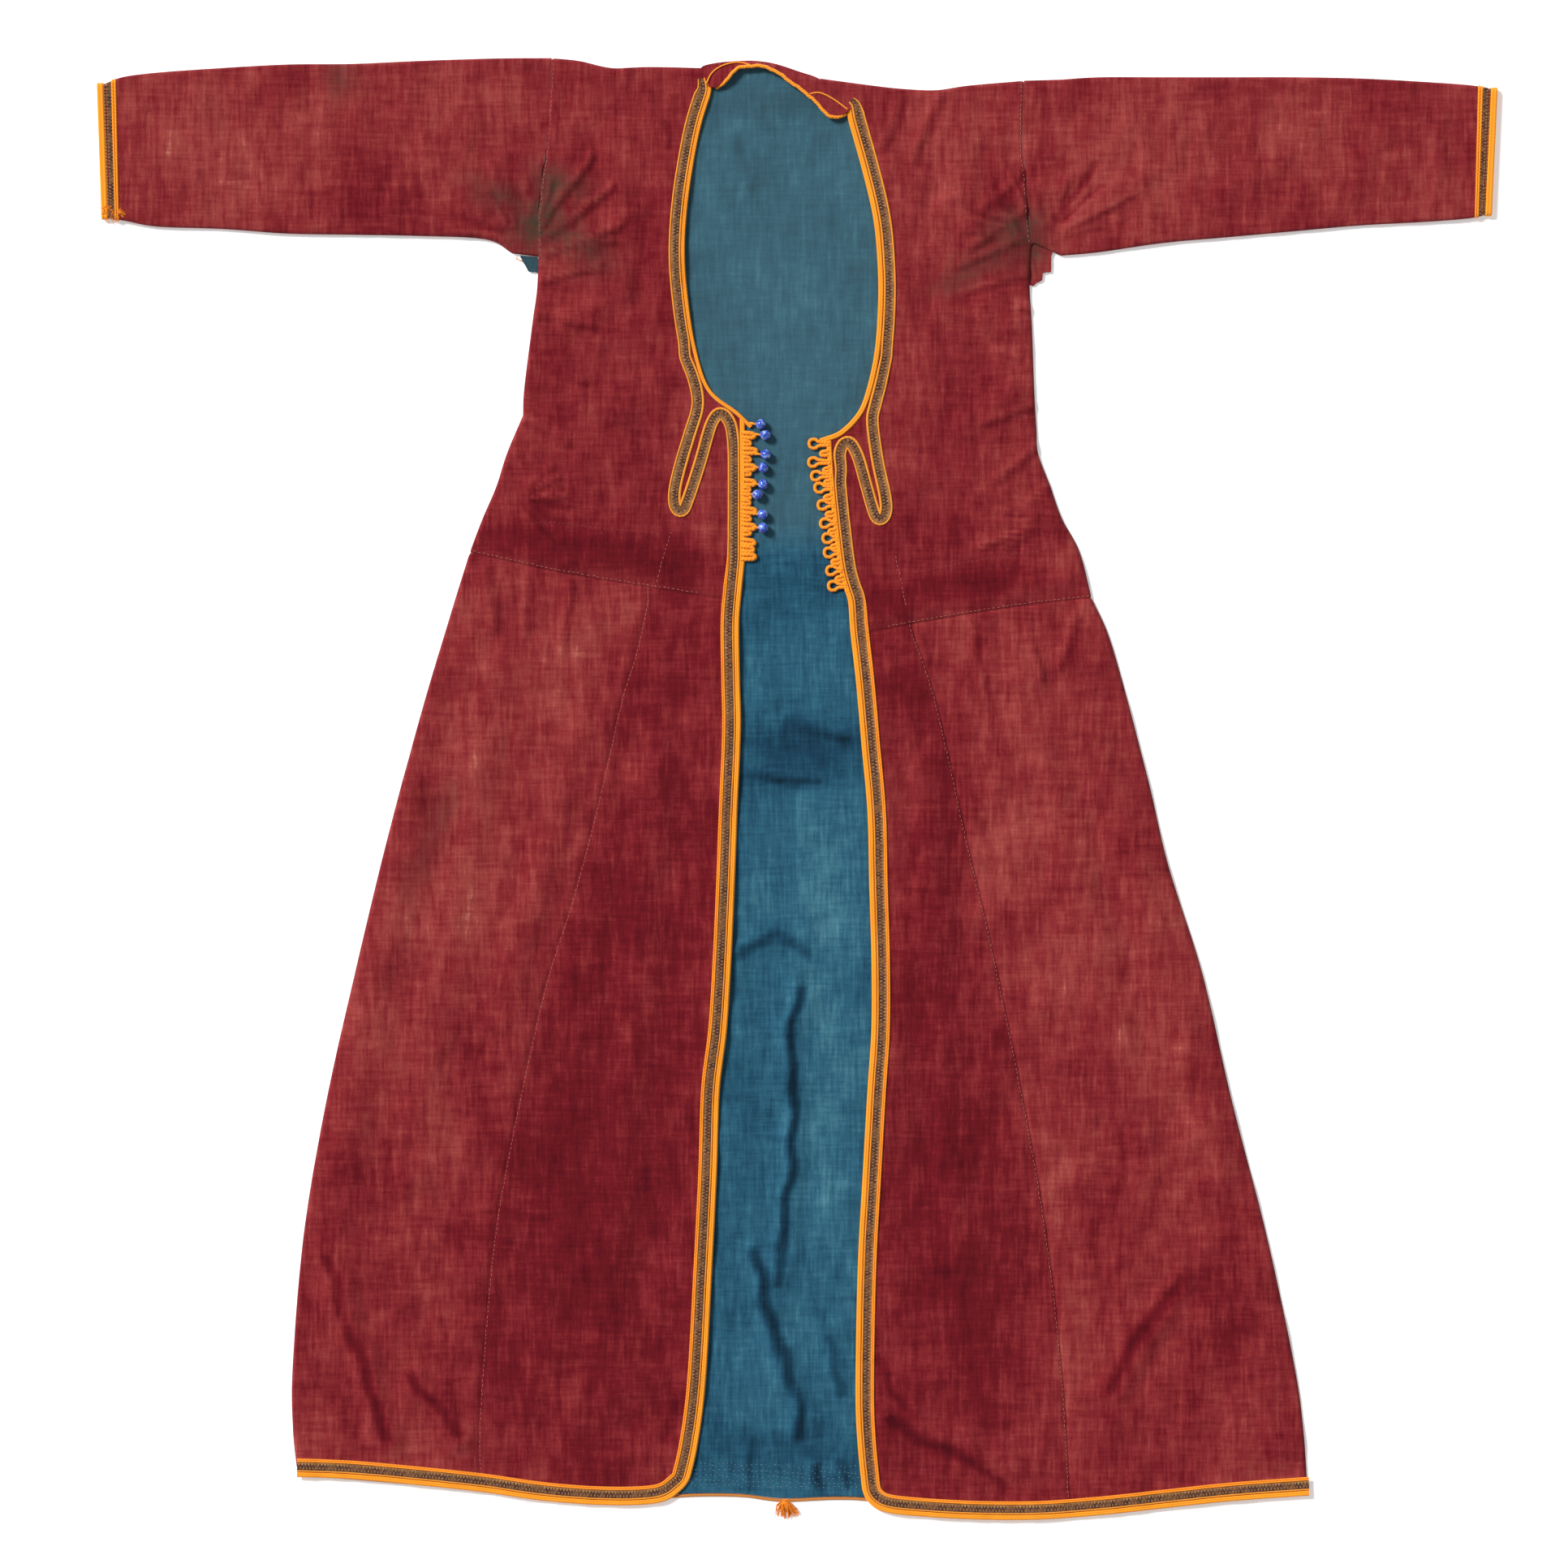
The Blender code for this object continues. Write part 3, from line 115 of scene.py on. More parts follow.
waist = {
    "left": ((-54, 163), (-130, 174.5), (-206, 187.5), (-282, 204)),
    "right": ((51, 133.5), (119, 146), (187, 157), (254.5, 165)),
}
# height at which each front edge crosses the waist
waistAt = {"left": 162, "right": 133}
hem = {
    "left": (
        (-94, -604), (-114, -616), (-159, -618), (-215, -614), (-271, -606), (-327, -600), (-383, -595),
        (-430, -593),
    ),
    "right": (
        (57, -614), (68, -623), (93, -627), (149, -630), (205, -630), (261, -626), (317, -620), (373, -614),
        (441, -609),
    ),
}
gore = {
    "left": (
        (-127, 174), (-138, 121), (-152, 75), (-171, -9), (-194, -96), (-219, -177), (-250, -320),
        (-264, -411), (-274, -544), (-273, -606),
    ),
    "right": (
        (98, 142), (118, 86), (133, 23), (149, -51), (168, -131), (194, -257), (216, -383), (230, -509),
        (237, -628.5),
    ),
}
backNeck = ((-64, 624), (-36, 627), (-14, 623.5), (4, 617))
backBottom = (
    (-426, -589), (-271, -602), (-159, -612), (-95, -607.5), (-48, -607.5), (-12, -611.5), (56, -610.5),
    (149, -624), (261, -621), (437, -605),
)

# folds: x and y of each end, half width, height (a trough is below 0)

frontFolds = (
    (-406, -399, -352, -562, 20, 2.2), (-329, -509, -289, -559, 18, 1.8), (331, -425, 271, -519, 20, 2),
    (79, -536, 182, -590, 20, 1.4), (-335, 0, -390, -320, 30, 1.6), (-262, 90, -330, -330, 28, 1.4),
    (-185, 60, -255, -200, 24, 1.2), (-120, 70, -160, -440, 26, 1.4), (200, 90, 300, -330, 28, 1.4),
    (262, 40, 365, -330, 28, 1.6), (110, 20, 140, -440, 24, 1.2), (-200, 400, -150, 430, 18, 1),
    (-195, 455, -140, 500, 18, 1.4), (-200, 350, -150, 320, 18, 1), (-160, 560, -140, 480, 22, 1),
    (175, 450, 130, 500, 18, 1.4), (180, 400, 130, 420, 18, 1), (182, 340, 140, 310, 18, 1),
    (150, 560, 135, 490, 22, 1), (-66, 130, -66, 10, 40, 1.2), (-70, -90, -80, -240, 40, 1.8),
    (-88, -350, -94, -500, 38, 1.2), (66, 90, 74, -60, 40, 1.4), (78, -150, 76, -290, 40, 1.6),
    (-108, 520, -108, 420, 34, 1), (86, 520, 88, 420, 34, 1.2),
)
waistTucks = (
    (-70, 178, -160, 194, 17, 1.3), (-160, 194, -250, 208, 17, 1.3), (66, 149, 150, 166, 17, 1.3),
    (150, 166, 225, 180, 17, 1.3),
)
frontCreases = (
    (-404, -405, -384, -468, 8, -0.9), (-384, -468, -352, -560, 9, -1), (-330, -508, -290, -556, 7, -0.9),
    (-103, -528, -115, -560, 6, -0.7), (331, -425, 293, -474, 9, -1.1), (293, -474, 271, -518, 8, -0.9),
    (80, -545, 110, -562, 7, -0.9), (110, -562, 152, -580, 8, -1), (152, -580, 182, -604, 7, -0.7),
    (72, -492, 90, -535, 6, -0.8), (190, 416, 201, 410, 5, 0.8), (169, 377, 190, 370, 5, 0.7),
    (150, 468, 196, 500, 6, 0.9), (140, 452, 196, 476, 5, 0.7), (146, 430, 200, 446, 5, 0.6),
    (160, 500, 192, 530, 6, 0.7), (-214, 478, -160, 520, 6, 0.9), (-216, 462, -150, 488, 5, 0.8),
    (-212, 500, -176, 548, 6, 0.8), (-218, 440, -170, 452, 5, 0.6), (-226, 408, -176, 402, 6, 0.6),
    (-228, 372, -184, 352, 6, 0.6), (-236, 318, -196, 300, 6, 0.7), (-242, 290, -206, 262, 6, 0.6),
    (200, 330, 160, 316, 6, 0.6), (206, 296, 172, 268, 6, 0.7), (216, 262, 190, 240, 6, 0.6),
    (240, 150, 228, 108, 7, 0.8), (-268, 192, -262, 140, 7, 0.7), (-232, 184, -236, 130, 7, 0.6),
    (-196, 180, -204, 118, 6, 0.6), (150, 146, 158, 92, 6, 0.6), (196, 152, 208, 96, 7, 0.6),
    (-150, 630, -112, 560, 8, 0.6), (120, 596, 98, 540, 7, 0.7), (90, 596, 76, 556, 6, 0.6),
)
liningFolds = (
    (-3, -165, -8, -330, 24, 2.6), (-8, -330, -16, -420, 24, 2.2), (-34, -400, -14, -500, 22, 1.8),
    (-14, -500, -2, -550, 22, 1.6), (-28, -125, 0, -128, 22, 1.4),
)
liningCreases = (
    (1, -169, -9, -197, 7, 1.6), (-9, -197, -5, -269, 8, 2), (-5, -269, -8.4, -331, 7, 1.8),
    (-8.4, -331, -17, -395, 7, 1.6), (-17, -395, -21, -425, 6, 1.2), (-37, -395, -31, -441, 8, 1.6),
    (-31, -441, -15, -482, 9, 2), (-15, -482, -8, -509, 8, 1.7), (-8, -509, 0, -555, 8, 1.3),
    (16, -581, 18, -599, 6, 1.2), (-52, -138, -21, -122, 9, 1), (-21, -122, 4, -138, 9, 1),
    (-30, 12, 14, 8, 5, 0.9), (-10, 60, 40, 46, 10, 0.8), (24, -470, 34, -520, 6, 0.9),
    (-44, -560, -42, -600, 5, 0.7), (36, -574, 38, -600, 5, 0.7), (-60, 560, -42, 520, 9, 0.6),
)
sleeveFolds = (
    (-250, 490, -320, 540, 20, 1.6), (-255, 520, -300, 590, 20, 1.2), (-360, 500, -430, 560, 22, 1.2),
    (-470, 500, -520, 590, 22, 1.2), (240, 490, 310, 535, 20, 1.6), (245, 520, 290, 580, 20, 1.2),
    (350, 495, 420, 550, 22, 1.2), (460, 500, 520, 580, 22, 1.2), (-232, 498, -276, 512, 6, 1),
    (-230, 512, -268, 540, 6, 0.9), (-236, 476, -290, 482, 6, 0.8), (-228, 540, -248, 580, 6, 0.7),
    (-300, 500, -312, 570, 7, 0.7), (-392, 490, -396, 560, 8, 0.7), (-440, 500, -450, 590, 8, 0.6),
    (-520, 496, -512, 560, 8, 0.6), (212, 496, 262, 470, 6, 1), (210, 520, 256, 512, 6, 0.9),
    (206, 548, 244, 560, 6, 0.8), (276, 480, 284, 560, 7, 0.9), (306, 486, 300, 580, 8, 0.9),
    (340, 500, 352, 590, 8, 0.8), (396, 500, 388, 590, 8, 0.7), (440, 496, 452, 580, 8, 0.7),
    (512, 500, 500, 590, 8, 0.6), (550, 500, 556, 580, 7, 0.6),
)

# sleeves: x and y of the upper edge, x and y of the lower edge, underside, top

sleeves = {
    "left": (
        (-596, 608, -592, 492, 1.5, 6), (-581, 614, -579, 490, 1.5, 6), (-551, 618, -551, 485, 0, 5.6),
        (-495, 622, -495, 483, 0, 5), (-439, 625, -439, 479, 0, 5.4), (-383, 625.5, -383, 478, 0, 5),
        (-327, 628, -327, 477, 0, 5.4), (-268, 630, -268, 474, 0, 4.8), (-239, 630.5, -245, 462, 0, 4.5),
    ),
    "right": (
        (597, 604, 592, 495, 1.5, 6), (581, 607, 579, 492, 1.5, 6), (541, 610, 541, 489, 0, 5.6),
        (485, 613, 485, 486, 0, 5), (429, 614, 429, 481, 0, 5.4), (373, 614, 373, 476, 0, 5),
        (317, 614, 317, 471, 0, 5.4), (261, 614, 261, 463, 0, 4.8), (228, 612, 228, 460, 0, 4.5),
    ),
}
tongue = {  # middle line of the tape's hairpin on each breast
    "left": (
        (-96, 372.8), (-88, 352), (-85, 330.8), (-92, 306.2), (-98.7, 283.8), (-104.2, 262),
        (-105.2, 248.1), (-102.5, 240.6), (-97.6, 240.6), (-94.2, 248.5), (-90.6, 258.6), (-82.6, 283.8),
        (-76.2, 307), (-72.3, 317.5), (-67.3, 324), (-61.2, 322), (-56.4, 313.5), (-54.6, 302),
        (-54.2, 292),
    ),
    "right": (
        (77.4, 372.8), (72.6, 350), (68, 332), (65.4, 316.8), (69.8, 283.5), (76, 254.3), (77.2, 240.3),
        (74, 233.2), (69.6, 233.4), (66.2, 241.1), (61.6, 257.2), (54.6, 282.5), (50.6, 292.5),
        (45.8, 299.2), (40.2, 297.5), (37.2, 289.5), (37.9, 281), (38.4, 275),
    ),
}

# colour: x, y, half length, half width, turn in degrees, amount (above 0 is faded)

redPatches = (
    (-442, 548, 150, 60, 0, 0.35), (-375, 520, 25, 50, 0, -0.4), (-337, 541, 20, 60, 0, -0.25),
    (-253, 597, 40, 30, 0, 0.25), (-554, 541, 30, 60, 0, 0.25), (-169, 541, 45, 70, 0, -0.05),
    (-197, 387, 40, 60, 0, 0.1), (-134, 450, 35, 80, 0, -0.15), (-155, 317, 60, 50, 0, -0.12),
    (-232, 261, 40, 30, 0, -0.2), (-155, 203, 105, 18, -8, -0.95), (-239, 213, 34, 12, -5, -0.6),
    (-239, 51, 60, 150, -12, 0.15), (-295, -54, 40, 120, -12, 0.25), (-351, -194, 50, 90, -10, 0.2),
    (-197, 107, 40, 60, 0, 0.25), (-393, -369, 35, 100, -8, -0.05), (-323, -439, 60, 100, 0, -0.08),
    (-155, -229, 70, 140, -6, -0.45), (-176, -439, 90, 160, 0, -0.45), (-127, -180, 20, 30, 0, 0.35),
    (-113, 121, 30, 80, 0, -0.35), (-127, -19, 45, 100, -8, -0.25), (118, 555, 55, 50, 0, 0.4),
    (90, 499, 22, 60, 10, 0.25), (153, 366, 50, 60, 0, 0.05), (181, 261, 40, 50, 0, 0.25),
    (104, 226, 50, 30, 0, -0.3), (230, 198, 11, 18, -20, 0.9), (132, 174, 95, 13, 9, -0.8),
    (258, 562, 50, 50, 0, 0.4), (363, 541, 60, 50, 0, 0.35), (314, 520, 12, 40, 0, -0.2),
    (468, 555, 60, 50, 0, 0.3), (552, 548, 30, 50, 0, 0.2), (174, 65, 45, 90, 14, 0.15),
    (244, -19, 60, 90, 14, 0.15), (181, -75, 36, 40, 0, 0.4), (258, -180, 60, 70, 0, 0.3),
    (328, -264, 50, 60, 0, 0.1), (349, -439, 60, 100, 10, -0.3), (230, -439, 18, 120, 4, 0.35),
    (293, -551, 80, 30, 0, -0.2), (111, 51, 30, 120, 10, -0.3), (125, -194, 50, 150, 8, -0.35),
    (139, -439, 55, 150, 4, -0.5), (97, 16, 16, 20, 0, 0.3), (-90, 560, 20, 60, 0, -0.15),
)
stains = (
    (-393, 612, 12, 15, 0, 0.6), (-253, 509, 34, 12, -25, 0.55), (-204, 523, 26, 12, -20, 0.6),
    (-187, 471, 34, 18, -40, 0.55), (-232, 478, 18, 18, 0, 0.6), (181, 485, 28, 14, 20, 0.55),
    (205, 471, 12, 24, 0, 0.6), (139, 436, 28, 9, 20, 0.4), (167, 457, 28, 11, 20, 0.5),
    (-316, -47, 11, 55, -18, 0.3), (-300, -20, 9, 30, -18, 0.2), (-214, 500, 14, 30, 0, 0.4),
)
bluePatches = (
    (2, 37, 55, 22, 0, -0.6), (34, 107, 25, 40, 0, 0.1), (27, -103, 26, 60, 0, 0.4),
    (-33, -103, 24, 40, 0, 0.2), (-36, -194, 22, 40, 0, 0.1), (27, -264, 26, 90, 0, 0.35),
    (-36, -299, 20, 60, 0, -0.15), (13, -474, 40, 40, 0, 0.15), (-15, -572, 70, 30, 0, -0.3),
    (-57, -474, 18, 80, 0, -0.1), (-29, 9, 34, 7, 0, -0.6), (-15, 401, 60, 60, 0, 0.15),
    (-57, 366, 22, 40, 0, -0.15), (-15, 592, 50, 14, 0, -0.4), (-36, 541, 40, 40, 0, 0.05),
    (20, 180, 40, 20, 0, -0.25), (-10, 150, 40, 30, 0, -0.1),
)


def smooth(points, perSpan=10):  # many points on a smooth line through a few
    p = np.array(points, float)
    p = np.vstack([2 * p[:1] - p[1:2], p, 2 * p[-1:] - p[-2:-1]])
    t = (np.arange(perSpan) / perSpan)[:, None]
    line = []
    for a, b, c, d in zip(p, p[1:], p[2:], p[3:]):
        bend = (2 * a - 5 * b + 4 * c - d) * t**2 + (3 * b - a - 3 * c + d) * t**3
        line.append(0.5 * (2 * b + (c - a) * t + bend))
    return np.vstack(line + [p[-2:-1]])


def runLength(line):
    steps = np.linalg.norm(np.diff(line, axis=0), axis=1)
    return np.concatenate([[0.0], np.cumsum(steps)])


def pointsAt(line, places):
    at = runLength(line)
    return np.stack([np.interp(places, at, line[:, k]) for k in range(line.shape[1])], 1)


def resample(line, count):
    return pointsAt(line, np.linspace(0, runLength(line)[-1], count + 1))


def everyStep(line, step):
    return resample(line, max(2, round(runLength(line)[-1] / step)))


def relax(line, times):  # takes small kinks out of a line, and keeps its ends
    line = line.copy()
    for _ in range(times):
        line[1:-1] = (line[:-2] + 2 * line[1:-1] + line[2:]) / 4
    return line


def sideways(path):  # unit vectors to the left of a path
    d = np.diff(path[:, :2], axis=0)
    d /= np.maximum(np.linalg.norm(d, axis=1), 1e-9)[:, None]
    before, after = np.vstack([d[:1], d]), np.vstack([d, d[-1:]])
    along = before + after
    along /= np.maximum(np.linalg.norm(along, axis=1), 1e-9)[:, None]
    stretch = 1 / np.maximum((along * before).sum(1), 0.6)
    return np.stack([-along[:, 1], along[:, 0]], 1) * stretch[:, None]


def beside(path, distance):
    return path + sideways(path) * distance


def splitAt(line, y):  # the parts of a downward line above and below a height
    above, below = line[line[:, 1] > y + 1], line[line[:, 1] < y - 1]
    part = (above[-1, 1] - y) / (above[-1, 1] - below[0, 1])
    middle = (above[-1] + (below[0] - above[-1]) * part)[None]
    return np.vstack([above, middle]), np.vstack([middle, below])


def ripples(x, y, size, seed):  # uneven soft waves between -1 and 1
    rng = random.Random(seed)
    total, waves = 0, 8
    for _ in range(waves):
        turn, wave = rng.uniform(0, math.pi), size * rng.uniform(0.6, 1.7)
        first, second = rng.uniform(0, 6.28), rng.uniform(0, 6.28)
        along = x * math.cos(turn) + y * math.sin(turn)
        across = y * math.cos(turn) - x * math.sin(turn)
        bend = 1.1 * np.sin(across * 6.28 / wave / 2.3 + second)
        total = total + np.sin(along * 6.28 / wave + first + bend)
    return total * 2 / waves


foldWander = {"reach": 3.0, "tilt": 0.6, "size": 55}  # keeps folds from being straight


def foldRise(x, y, table):  # height of the folds in a table
    x, y = np.asarray(x, float), np.asarray(y, float)
    wander = foldWander["reach"] * ripples(x, y, foldWander["size"], 5)
    x, y = x + wander, y + foldWander["tilt"] * wander
    rise, sink = np.zeros_like(x), np.zeros_like(x)
    for x0, y0, x1, y1, halfWidth, height in table:
        dx, dy = x1 - x0, y1 - y0
        part = np.clip(((x - x0) * dx + (y - y0) * dy) / (dx * dx + dy * dy), 0, 1)
        away = np.minimum(np.hypot(x - x0 - part * dx, y - y0 - part * dy) / halfWidth, 1)
        shape = height * np.cos(math.pi / 2 * away) ** 2
        rise, sink = np.maximum(rise, shape), np.minimum(sink, shape)
    return rise + sink


def fan(x, y, first, last, count, near, far, seed):  # creases that spread from a pulled place
    rng, rows = random.Random(seed), []
    for i in range(count):
        turn = math.radians(first + (last - first) * (i + rng.uniform(-0.3, 0.3)) / max(1, count - 1))
        start, end = near * rng.uniform(0.7, 1.5), far * rng.uniform(0.6, 1.1)
        c, s = math.cos(turn), math.sin(turn)
        rise = rng.choice((1, 1, -1)) * rng.uniform(0.45, 0.85)
        rows.append((x + c * start, y + s * start, x + c * end, y + s * end, rng.uniform(3.6, 6.0), rise))
    return tuple(rows)


pulls = fan(-232, 462, 12, 105, 9, 22, 78, 1) + fan(206, 470, 78, 168, 9, 20, 76, 2)
pulls = pulls + fan(-246, 250, -40, 40, 6, 12, 60, 3) + fan(214, 232, 140, 215, 6, 12, 56, 4)
sleevePulls = fan(-236, 470, 70, 170, 8, 16, 84, 5) + fan(212, 474, 12, 110, 8, 16, 84, 6)

frontRelief = {  # heights of the folds in each table; height, size and seed of each ripple
    "base": 0.6, "folds": ((1.9, frontFolds + waistTucks), (2.6, frontCreases + pulls)),
    "ripples": ((0.85, 42, 11), (0.13, 14, 12)),
}
liningRelief = {"base": 0, "folds": ((1, liningFolds), (1.5, liningCreases)), "ripples": ()}
liningOpen = {"middle": -10, "half": 75, "rise": 0.12, "size": 30}  # where nothing lies on the lining
sleeveRelief = {
    "base": 0.5, "folds": ((1, sleeveFolds), (2.2, sleevePulls)), "ripples": ((0.5, 40, 31), (0.12, 14, 32)),
}


def relief(x, y, look):
    rise = look["base"] + sum(height * foldRise(x, y, table) for height, table in look["folds"])
    return rise + sum(height * ripples(x, y, size, seed) for height, size, seed in look["ripples"])


def frontBottom(x, y):
    return heights["frontBottom"] + np.maximum(relief(x, y, frontRelief), 0)


def frontTop(x, y):
    return frontBottom(x, y) + heights["front"]


def liningBottom(x, y):
    look = liningOpen
    shown = np.clip(1 - (np.abs(x - look["middle"]) / look["half"]) ** 4, 0, 1)
    rise = relief(x, y, liningRelief) + shown * look["rise"] * (1 + ripples(x, y, look["size"], 21))
    return heights["liningBottom"] + np.maximum(rise, 0)


def liningTop(x, y):
    return liningBottom(x, y) + heights["lining"]


rollAt = [clear["roll"] * (1 - math.sin(math.radians(a))) for a in (90, 72, 54, 36, 18, 0)]
edgeAt = [0.7, 1.6]  # rows near an edge that isn't rolled


def rollDown(distance):  # how far cloth has rolled down near a rounded edge
    r = clear["roll"]
    d = np.clip(distance, 0, r)
    return r - np.sqrt(r * r - (r - d) ** 2)


def patchSum(x, y, table):  # soft ovals of a table, added up
    total = np.zeros_like(x)
    for x0, y0, halfLength, halfWidth, turn, amount in table:
        c, s = math.cos(math.radians(turn)), math.sin(math.radians(turn))
        u, v = (x - x0) * c + (y - y0) * s, (y - y0) * c - (x - x0) * s
        total = total + amount * np.exp(-((u / halfLength) ** 2) - (v / halfWidth) ** 2)
    return total


# meshes

def newMesh(name, verts, faces, materials, uvs=None, faceMaterials=None, sharp=50):
    mesh = bpy.data.meshes.new(name)
    mesh.from_pydata((np.asarray(verts, float) * mm).tolist(), [], faces)
    for material in materials:
        mesh.materials.append(material)
    if uvs is not None:
        layer = mesh.uv_layers.new(name="along")
        layer.data.foreach_set("uv", np.asarray(uvs, np.float32).ravel())
    if faceMaterials is not None:
        mesh.polygons.foreach_set("material_index", faceMaterials)
    mesh.shade_smooth()
    mesh.set_sharp_from_angle(angle=math.radians(sharp))
    mesh.validate()
    piece = bpy.data.objects.new("shown_" + name, mesh)
    bpy.context.scene.collection.objects.link(piece)
    return piece


# painted light and shade on the folds: strength on the front and on the lining, the painted shadow beside a
# ridge, and how far that shadow is moved towards the lower right
creaseTone = {"front": 0.9, "lining": 0.12, "shade": -0.62, "shift": (3.4, -2.6)}


def paintedFoldShade(x, y, table, amount):  # painted shade in a crease, painted light on a ridge and a painted shadow below it
    along = foldRise(x, y, table)
    # painted light on ridges at half strength, painted shade in creases
    wearAndFoldShade = np.where(along > 0, 0.5, 1.0) * along
    # a painted shadow: the ridge's height, moved away from the light, darkens the cloth beside it
    dx, dy = creaseTone["shift"]
    below = np.maximum(foldRise(x - dx, y - dy, table), 0)
    return amount * wearAndFoldShade + creaseTone["shade"] * below


def addShades(piece, patches, stainTable=(), fadeAndShade=0.0, creases=(), amount=0.0):
    co = np.zeros(len(piece.data.vertices) * 3, np.float32)
    piece.data.vertices.foreach_get("co", co)
    x, y = co.reshape(-1, 3)[:, 0] / mm, co.reshape(-1, 3)[:, 1] / mm
    for name, table in (("fadeAndShade", patches), ("stain", stainTable)):
        layer = piece.data.attributes.new(name, "FLOAT", "POINT")
        value = patchSum(x, y, table)
        if name == "fadeAndShade":
            # the painted light and shade of the folds go into the same attribute as the faded patches
            value = value + fadeAndShade + (paintedFoldShade(x, y, creases, amount) if creases else 0)
        layer.data.foreach_set("value", value.astype(np.float32))


def gridFaces(rows, cols, start=0, flip=False, loop=False):
    i = np.arange(rows - 1)[:, None] * cols
    j = np.arange(cols if loop else cols - 1)[None]
    k = (j + 1) % cols
    quads = np.stack([i + j, i + cols + j, i + cols + k, i + k], -1).reshape(-1, 4) + start
    return (quads[:, ::-1] if flip else quads).tolist()


def gridNormals(grid, loop=False):
    across = (np.roll(grid, -1, 1) - np.roll(grid, 1, 1)) / 2 if loop else np.gradient(grid, axis=1)
    n = np.cross(np.gradient(grid, axis=0), across)
    return n / np.maximum(np.linalg.norm(n, axis=2), 1e-9)[..., None]


def shell(name, grid, thickness, materials):  # a sheet with a wall: grid is its underside
    rows, cols = grid.shape[:2]
    count = rows * cols
    n = gridNormals(grid)
    n = -n if n[..., 2].mean() < 0 else n
    top = grid + n * np.broadcast_to(thickness, (rows, cols))[..., None]
    turned = np.cross(top[1, 0] - top[0, 0], top[0, 1] - top[0, 0])[2] < 0
    ring = list(range(cols - 1)) + [r * cols + cols - 1 for r in range(rows - 1)]
    ring += [(rows - 1) * cols + c for c in range(cols - 1, 0, -1)]
    ring += [r * cols for r in range(rows - 1, 0, -1)]
    faces = gridFaces(rows, cols, count, turned) + gridFaces(rows, cols, 0, not turned)
    for p, q in zip(ring, ring[1:] + ring[:1]):
        faces.append((p, q, q + count, p + count) if turned else (q, p, p + count, q + count))
    return newMesh(name, np.vstack([grid.reshape(-1, 3), top.reshape(-1, 3)]), faces, materials)


def tubeShell(name, rings, wall, materials):  # an open tube of cloth: rings are its outside
    rows, cols = rings.shape[:2]
    count = rows * cols
    n = gridNormals(rings, loop=True)
    inward = ((rings - rings.mean(1, keepdims=True)) * n)[..., 1:].sum() < 0
    inside = rings - (-n if inward else n) * wall
    faces = gridFaces(rows, cols, 0, False, True) + gridFaces(rows, cols, count, True, True)
    for row in (0, rows - 1):
        for j in range(cols):
            p, q = row * cols + j, row * cols + (j + 1) % cols
            faces.append((p, q, q + count, p + count) if row else (q, p, p + count, q + count))
    if inward:
        faces = [face[::-1] for face in faces]
    return newMesh(name, np.vstack([rings.reshape(-1, 3), inside.reshape(-1, 3)]), faces, materials)


def sweep(name, path, profileAt, base, materials, bands=None):  # a flat-bottomed trim
    lefts, run = sideways(path), runLength(path)
    turn = np.unwrap(np.arctan2(lefts[:, 1], lefts[:, 0]))
    bend = np.gradient(turn) / np.maximum(np.gradient(run), 1e-6)
    profiles = [np.asarray(profileAt(i), float) for i in range(len(path))]
    count = len(profiles[0])
    verts, uvs, faces, faceMaterials = [], [], [], []
    for i, corners in enumerate(profiles):
        across = corners[:, 0]
        if abs(bend[i]) > 1e-4:  # stop short of the middle of a tight bend
            limit = 0.92 / bend[i]
            across = np.minimum(across, limit) if limit > 0 else np.maximum(across, limit)
        place = path[i] + lefts[i] * across[:, None]
        verts.append(np.column_stack([place, base(place[:, 0], place[:, 1]) + corners[:, 1]]))
    low, high = profiles[0][:, 0].min(), profiles[0][:, 0].max()
    for i in range(len(path) - 1):
        for k in range(count):
            j = (k + 1) % count
            faces.append((i * count + k, (i + 1) * count + k, (i + 1) * count + j, i * count + j))
            v0, v1 = ((profiles[i][m, 0] - low) / (high - low) for m in (k, j))
            u0, u1 = run[i] * mm, run[i + 1] * mm
            uvs += [(u0, v0), (u1, v0), (u1, v1), (u0, v1)]
            faceMaterials.append(bands(i)[k] if bands else 0)
    faces += [tuple(range(count)), tuple((len(path) - 1) * count + k for k in reversed(range(count)))]
    uvs += [(0, 0)] * (2 * count)
    faceMaterials += [0, 0]
    verts = np.vstack(verts)
    if np.cross(verts[count] - verts[0], verts[1] - verts[0])[2] > 0:  # the underside has to look down
        faces = [face[::-1] for face in faces]
        uvs = flipUvs(uvs, faces)
    return newMesh(name, verts, faces, materials, uvs, faceMaterials, 40)


def flipUvs(uvs, faces):
    turned, at = [], 0
    for face in faces:
        turned += uvs[at : at + len(face)][::-1]
        at += len(face)
    return turned


